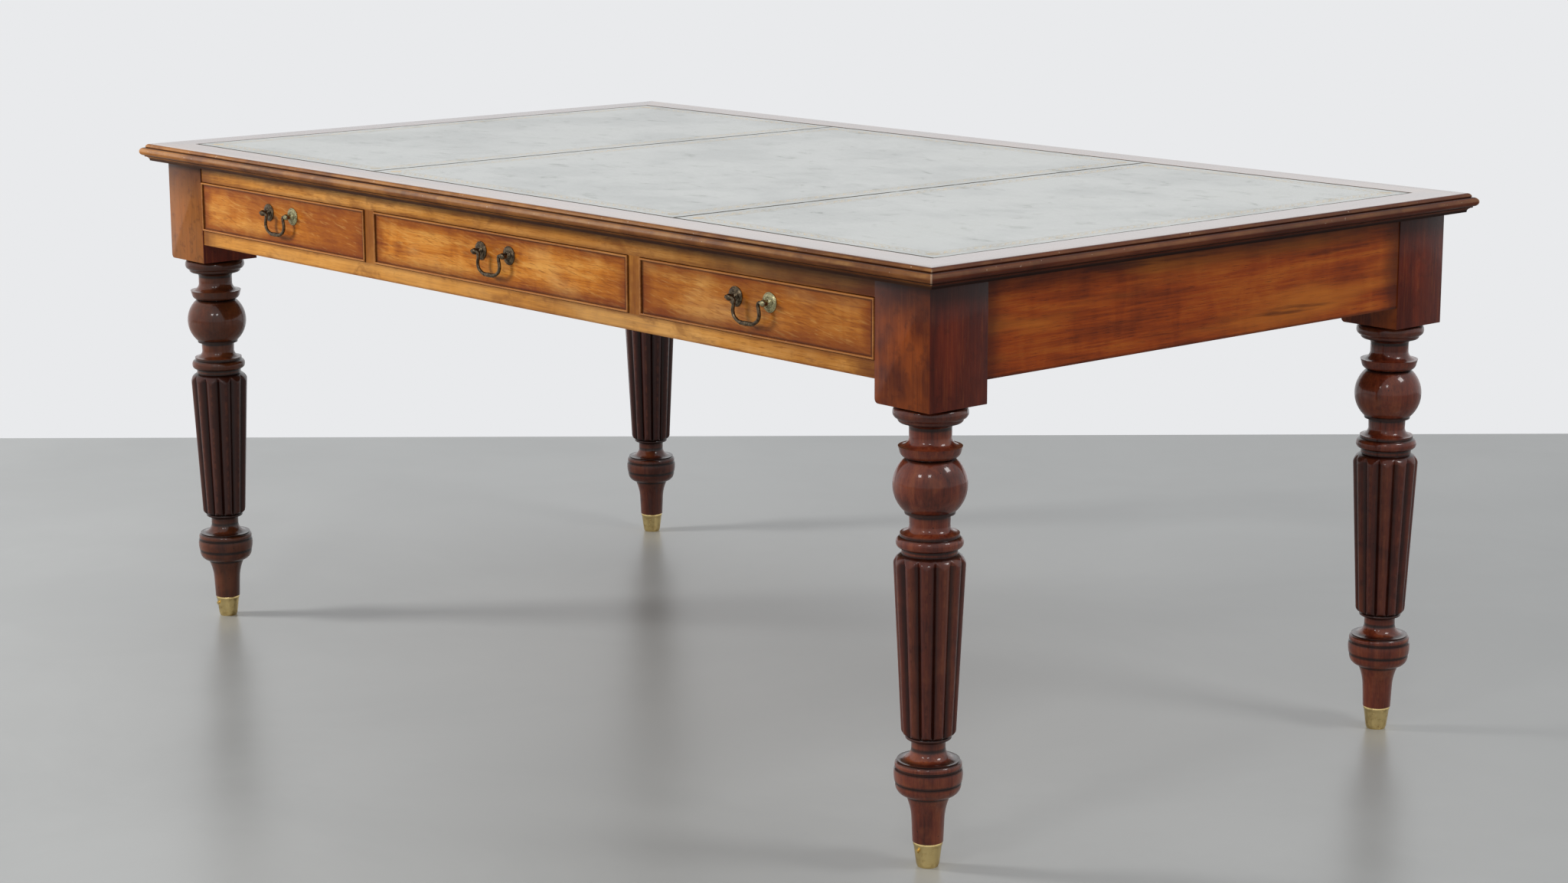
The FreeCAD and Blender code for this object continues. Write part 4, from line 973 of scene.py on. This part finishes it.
leg_wood = wood("leg_mahogany", LEG_TONES, "z", LEG_POLISH, 0.8, 0.4, leg_age_and_painted_shade, leg_coat)
cap_metal = brass("cap_brass")
screw_metal = stained_metal("screw_brass", (78, 60, 38))
leg_mesh = turned("leg_turning", leg_profile(), leg_wood, REEDS * 16, Turn=math.radians(-4),
                  Reeds=REEDS, Reed_depth=REED_DEPTH, Reed_low=REED_FOOT, Reed_high=REED_HEAD,
                  Low_radius=REED_RADIUS, Taper=REED_TAPER)
cap_mesh = grown("foot_cap_bored", turned("foot_cap", cap_profile(), cap_metal, 96), BORED,
                 {"Material": cap_metal, "Bore": CAP_BORE * MM, "From": 20 * MM,
                  "Depth": 3.55 * MM, "Level": SCREW_LEVEL})


def left_toe(start, end):
    """The bottom edge on the left of a block, from front to back."""
    return max(start.z, end.z) < BLOCK_LOW + 1e-6 and abs(start.x - end.x) < 1e-6


corners = [(x_side, y_side) for y_side in (-1, 1) for x_side in (-1, 1)]
screw_points = bpy.data.meshes.new("cap_screw_points")
screw_points.from_pydata([(x_side * LEG_X, y_side * (LEG_Y + SCREW_OUT), SCREW_LEVEL)
                          for x_side, y_side in corners], [], [])
turns = screw_points.attributes.new("turn", "FLOAT_VECTOR", "POINT")
for point, (_, y_side) in enumerate(corners):
    turns.data[point].vector = (-y_side * math.pi / 2, 0, 0)
for side, y_side in SIDES.items():
    for end, x_side in ENDS.items():
        centre = Vector((x_side * LEG_X, y_side * LEG_Y, 0))
        turning = leg_mesh.copy()
        turning.transform(Matrix.Translation(centre))
        half = Vector((BLOCK_HALF, BLOCK_HALF, 0))
        low = centre - half + Vector((0, 0, BLOCK_LOW))
        high = centre + half + Vector((0, 0, BLOCK_HIGH))
        block = eased_box(f"leg_block_{side}_{end}", low, high, 0.0007, leg_wood,
                          lambda a, b: left_toe(a, b) and a.x < centre.x, 0.006)
        whole = joined(f"leg_{side}_{end}_mesh", [turning, block])
        piece(f"reeded_leg_{side}_{end}", whole, "frame", "leg_mahogany", f"leg_{side}_{end}")
        cup = cap_mesh.copy()
        outwards = Matrix.Rotation(math.pi if y_side < 0 else 0, 4, "Z")
        cup.transform(Matrix.Translation(centre) @ outwards)
        piece(f"brass_cap_{side}_{end}", cup, "frame", "cap_brass", f"foot_cap_{side}_{end}")
screws = grown("slotted_cap_screws", screw_points, SCREWS,
               {"Material": screw_metal, "Head": SCREW_HEAD * MM, "Core": 1.3 * MM, "Length": 10 * MM})
piece("slotted_cap_screws", outward(screws), "frame", "screw_brass", "cap_screws")


# Drawers and their handles

PIVOT_OUT = 0.0114  # how far a bail's axis stands out from its drawer's face
POST = 0.033  # from a handle's middle to each of its posts
NUT = 0.0045  # half the width of a post's nut
# Each front's redness, and how far it is faded and painted with sheen.
FRONT_RED_AND_SHEEN = {"left": (0.32, 0.12), "middle": (0.07, 0.33), "right": (0.60, 0.38)}


def face_plane(side, middle, level):
    """From across, up and forward on a drawer's face to the table's own axes."""
    y_side = SIDES[side]
    return Matrix(((-y_side, 0, 0, middle), (0, 0, y_side, y_side * FACE_Y),
                   (0, 1, 0, level), (0, 0, 0, 1)))


def cock_bead(name, material, half_wide):
    """Four mitred strips with a half-round front, round a drawer's edge."""
    section = Profile(-3, -8.5)
    section.to(-3, 1.0).to(-1.5, 2.5, QUARTER).to(0, 1.0, QUARTER).to(0, -8.5).to(-3, -8.5)
    strips = []
    for half_length, placing in frame_sides(half_wide, FACE_HALF_HIGH):
        strip = bar(f"{name}_{len(strips)}", section, material, half_length, 6)
        strip.transform(placing)
        strips.append(strip)
    return joined(name, strips)


def post_profile():
    """The section of a handle's post with its rose and its shank, in mm."""
    stem = Profile(0, 16, 8)
    stem.to(4.6, 11.4, QUARTER)
    stem.down(3.3, 3.6, SOFT)
    stem.to(5.4, 3.6, -QUARTER)
    stem.to(6.2, 3.9, SOFT).to(6.9, 3.2)
    stem.to(11.9, 1.7, SOFT).to(13.2, 1.0, SOFT)
    stem.to(13.2, 0).to(2, 0)
    return stem.to(2, -23).to(0, -23)


def bail_line():
    """The corners of the drop handle's middle line, with the radius that each is bent to."""
    half = [(39.4, 0, 0), (22.2, 0, 3.6), (27.3, -21.5, 12), (13, -29.6, 20)]
    corners = half + [(-x, z, bend) for x, z, bend in reversed(half)]
    line = bpy.data.meshes.new("bail_line")
    line.from_pydata([(x * MM, 0, z * MM) for x, z, _ in corners],
                     [(corner, corner + 1) for corner in range(len(corners) - 1)], [])
    bends = line.attributes.new("corner", "FLOAT", "POINT")
    bends.data.foreach_set("value", [bend * MM for _, _, bend in corners])
    return line


bead_wood = wood("bead_mahogany", BEAD_TONES, "x", BEAD_POLISH, 0.7, 8.0, bead_wear_and_painted_light)
dark_bronze = bronze("bail_bronze")
bail_mesh = outward(grown("bail", bail_line(), BAIL, {
    "Material": dark_bronze, "Wire": 2.35 * MM, "Swelling": 3.3 * MM,
    "Swelling half": 9.5 * MM, "Collar": 3.05 * MM, "Foot": -29.6 * MM}))
STAND_UP = Matrix(((1, 0, 0, 0), (0, 0, 1, 0), (0, -1, 0, 0), (0, 0, 0, 1)))
for side, y_side in SIDES.items():
    for place in ("left", "middle", "right"):
        drawer = f"{side}_{place}"
        low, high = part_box(f"drawer_front_{drawer}")
        middle = (low[0] + high[0]) / 2
        half_wide = (high[0] - low[0]) / 2
        handle = face_plane(side, middle, HANDLE_LEVEL)
        body = f"{drawer}_drawer"
        dress(wood(f"front_mahogany_{drawer}", FRONT_TONES, "x", FRENCH_POLISH, 1.0,
                   middle * 5 + y_side, front_age_and_painted_light(middle, half_wide, *FRONT_RED_AND_SHEEN[place])),
              f"drawer_front_{drawer}")
        dress(drawer_lining(f"lining_{drawer}", middle, half_wide, y_side), f"drawer_box_{drawer}")
        beads = cock_bead(f"cock_bead_mesh_{drawer}", bead_wood, half_wide)
        beads.transform(face_plane(side, middle, DRAWER_LEVEL))
        piece(f"half_round_bead_{drawer}", beads, body, "front_mahogany", f"cock_bead_{drawer}")
        post_bronze = bronze(f"post_bronze_{drawer}", None if place == "middle" else (middle, -y_side))
        posts = []
        for across in (-POST, POST):
            post = turned("post", post_profile(), post_bronze, 48)
            nut = eased_box("nut", Vector((-NUT, -NUT, -0.023)), Vector((NUT, NUT, -0.020)),
                            0.0004, post_bronze)
            for mesh in (post, nut):
                mesh.transform(handle @ Matrix.Translation((across, 0, 0)))
                posts.append(mesh)
        piece(f"handle_roses_{drawer}", joined(f"handle_roses_mesh_{drawer}", posts), body,
              "handle_bronze", f"handle_posts_{drawer}")
        bail = bail_mesh.copy()
        bail.transform(handle @ Matrix.Translation((0, 0, PIVOT_OUT)) @ STAND_UP)
        piece(f"drop_handle_{drawer}", bail, f"{drawer}_bail", "handle_bronze", f"drawer_bail_{drawer}")


# Floor, light and camera

def polished_concrete(name):
    """Plain pale grey with a very faint clouding."""
    def shade(graph, place):
        cloud = graph.noise(place, 1.6, 5, 0.62, 0.4)
        drift = graph.noise(place, 0.5, 3, 0.5)
        colour = graph.mix((cloud * 0.6 + drift * 0.4).rise(0.36, 0.64),
                           (168, 169, 167), (178, 179, 177))
        return {"Base Color": colour, "Roughness": 0.31 + (cloud - 0.5) * 0.06}
    return finish(name, shade, {})


CAMERA_PLACE = Vector((3.5285, -3.0555, 1.3194))
YAW, PITCH, ROLL = math.radians(-48.7255), math.radians(11.6969), math.radians(-0.1666)
FOCAL_PIXELS, WIDE_PIXELS = 4116, 2048
FLOOR_FAR, FLOOR_HALF, FLOOR_DEEP = 6.43, 14, 24

forward = Vector((math.sin(YAW) * math.cos(PITCH), math.cos(YAW) * math.cos(PITCH), -math.sin(PITCH)))
ahead = Vector((math.sin(YAW), math.cos(YAW), 0))
beside = Vector((math.cos(YAW), -math.sin(YAW), 0))
above = beside.cross(forward)
right = beside * math.cos(ROLL) + above * math.sin(ROLL)
up = above * math.cos(ROLL) - beside * math.sin(ROLL)
camera = placed("camera", bpy.data.cameras.new("camera"))
camera.data.sensor_width = 36
camera.data.lens = FOCAL_PIXELS / WIDE_PIXELS * camera.data.sensor_width
camera.data.clip_end = 200
facing = Matrix((right, up, -forward)).transposed().to_4x4()
camera.matrix_world = Matrix.Translation(CAMERA_PLACE) @ facing
bpy.context.scene.camera = camera

far = Vector((CAMERA_PLACE.x, CAMERA_PLACE.y, 0)) + ahead * FLOOR_FAR
far_left, far_right = far - beside * FLOOR_HALF, far + beside * FLOOR_HALF
floor_mesh = bpy.data.meshes.new("floor")
floor_mesh.from_pydata([far_left, far_right, far_right - ahead * FLOOR_DEEP,
                        far_left - ahead * FLOOR_DEEP], [], [(3, 2, 1, 0)])
floor_mesh.materials.append(polished_concrete("floor"))
floor = placed("floor", floor_mesh)

world = bpy.data.worlds.new("studio")
bpy.context.scene.world = world
world.use_nodes = True
world.node_tree.nodes.clear()
sky = Graph(world.node_tree)
path = sky.node("ShaderNodeLightPath", None, "Is Camera Ray")
seen = path.most(path.out("Is Glossy Ray")).most(path.out("Is Transmission Ray"))
backdrop = sky.node("ShaderNodeBackground", {"Color": linear((233, 234, 236)), "Strength": 1.0})
fill = sky.node("ShaderNodeBackground", {"Color": (0.93, 0.97, 1.0, 1), "Strength": 0.36})
shown = sky.node("ShaderNodeMixShader", {0: seen, 1: fill, 2: backdrop})
sky.node("ShaderNodeOutputWorld", {"Surface": shown})


def softbox(name, place, target, wide, high, power, mirrored=True):
    """An area lamp. One that isn't mirrored lights surfaces without its reflection in them."""
    lamp = bpy.data.lights.new(name, "AREA")
    lamp.shape = "RECTANGLE"
    lamp.size = wide
    lamp.size_y = high
    lamp.energy = power
    held = placed(name, lamp)
    held.location = place
    held.visible_camera = False
    held.visible_glossy = mirrored
    held.rotation_euler = (Vector(target) - Vector(place)).to_track_quat("-Z", "Y").to_euler()


LEFT_LAMPS = (-3.0, -3.0, 1.9), (0, -0.3, 0.6)
softbox("key", *LEFT_LAMPS, 0.85, 0.85, 118, mirrored=False)
softbox("glint", *LEFT_LAMPS, 0.5, 0.5, 7)
softbox("front", (1.16, -2.89, 2.25), (0.2, 0, 0.5), 0.45, 0.35, 9)
softbox("near", (2.9, -2.6, 2.9), (0.4, 0, 0.5), 0.5, 0.5, 11)
softbox("side", (2.8, 1.0, 2.9), (0, 0, 0.5), 0.8, 0.8, 27)
softbox("overhead", (0.0, 0.4, 3.6), (0, 0, 0), 3.0, 1.6, 10)
softbox("back", ahead * 4.6 + Vector((0, 0, 1.97)), (0, 0, 0.77), 5.0, 1.2, 5)

bpy.context.scene.view_settings.view_transform = "Standard"
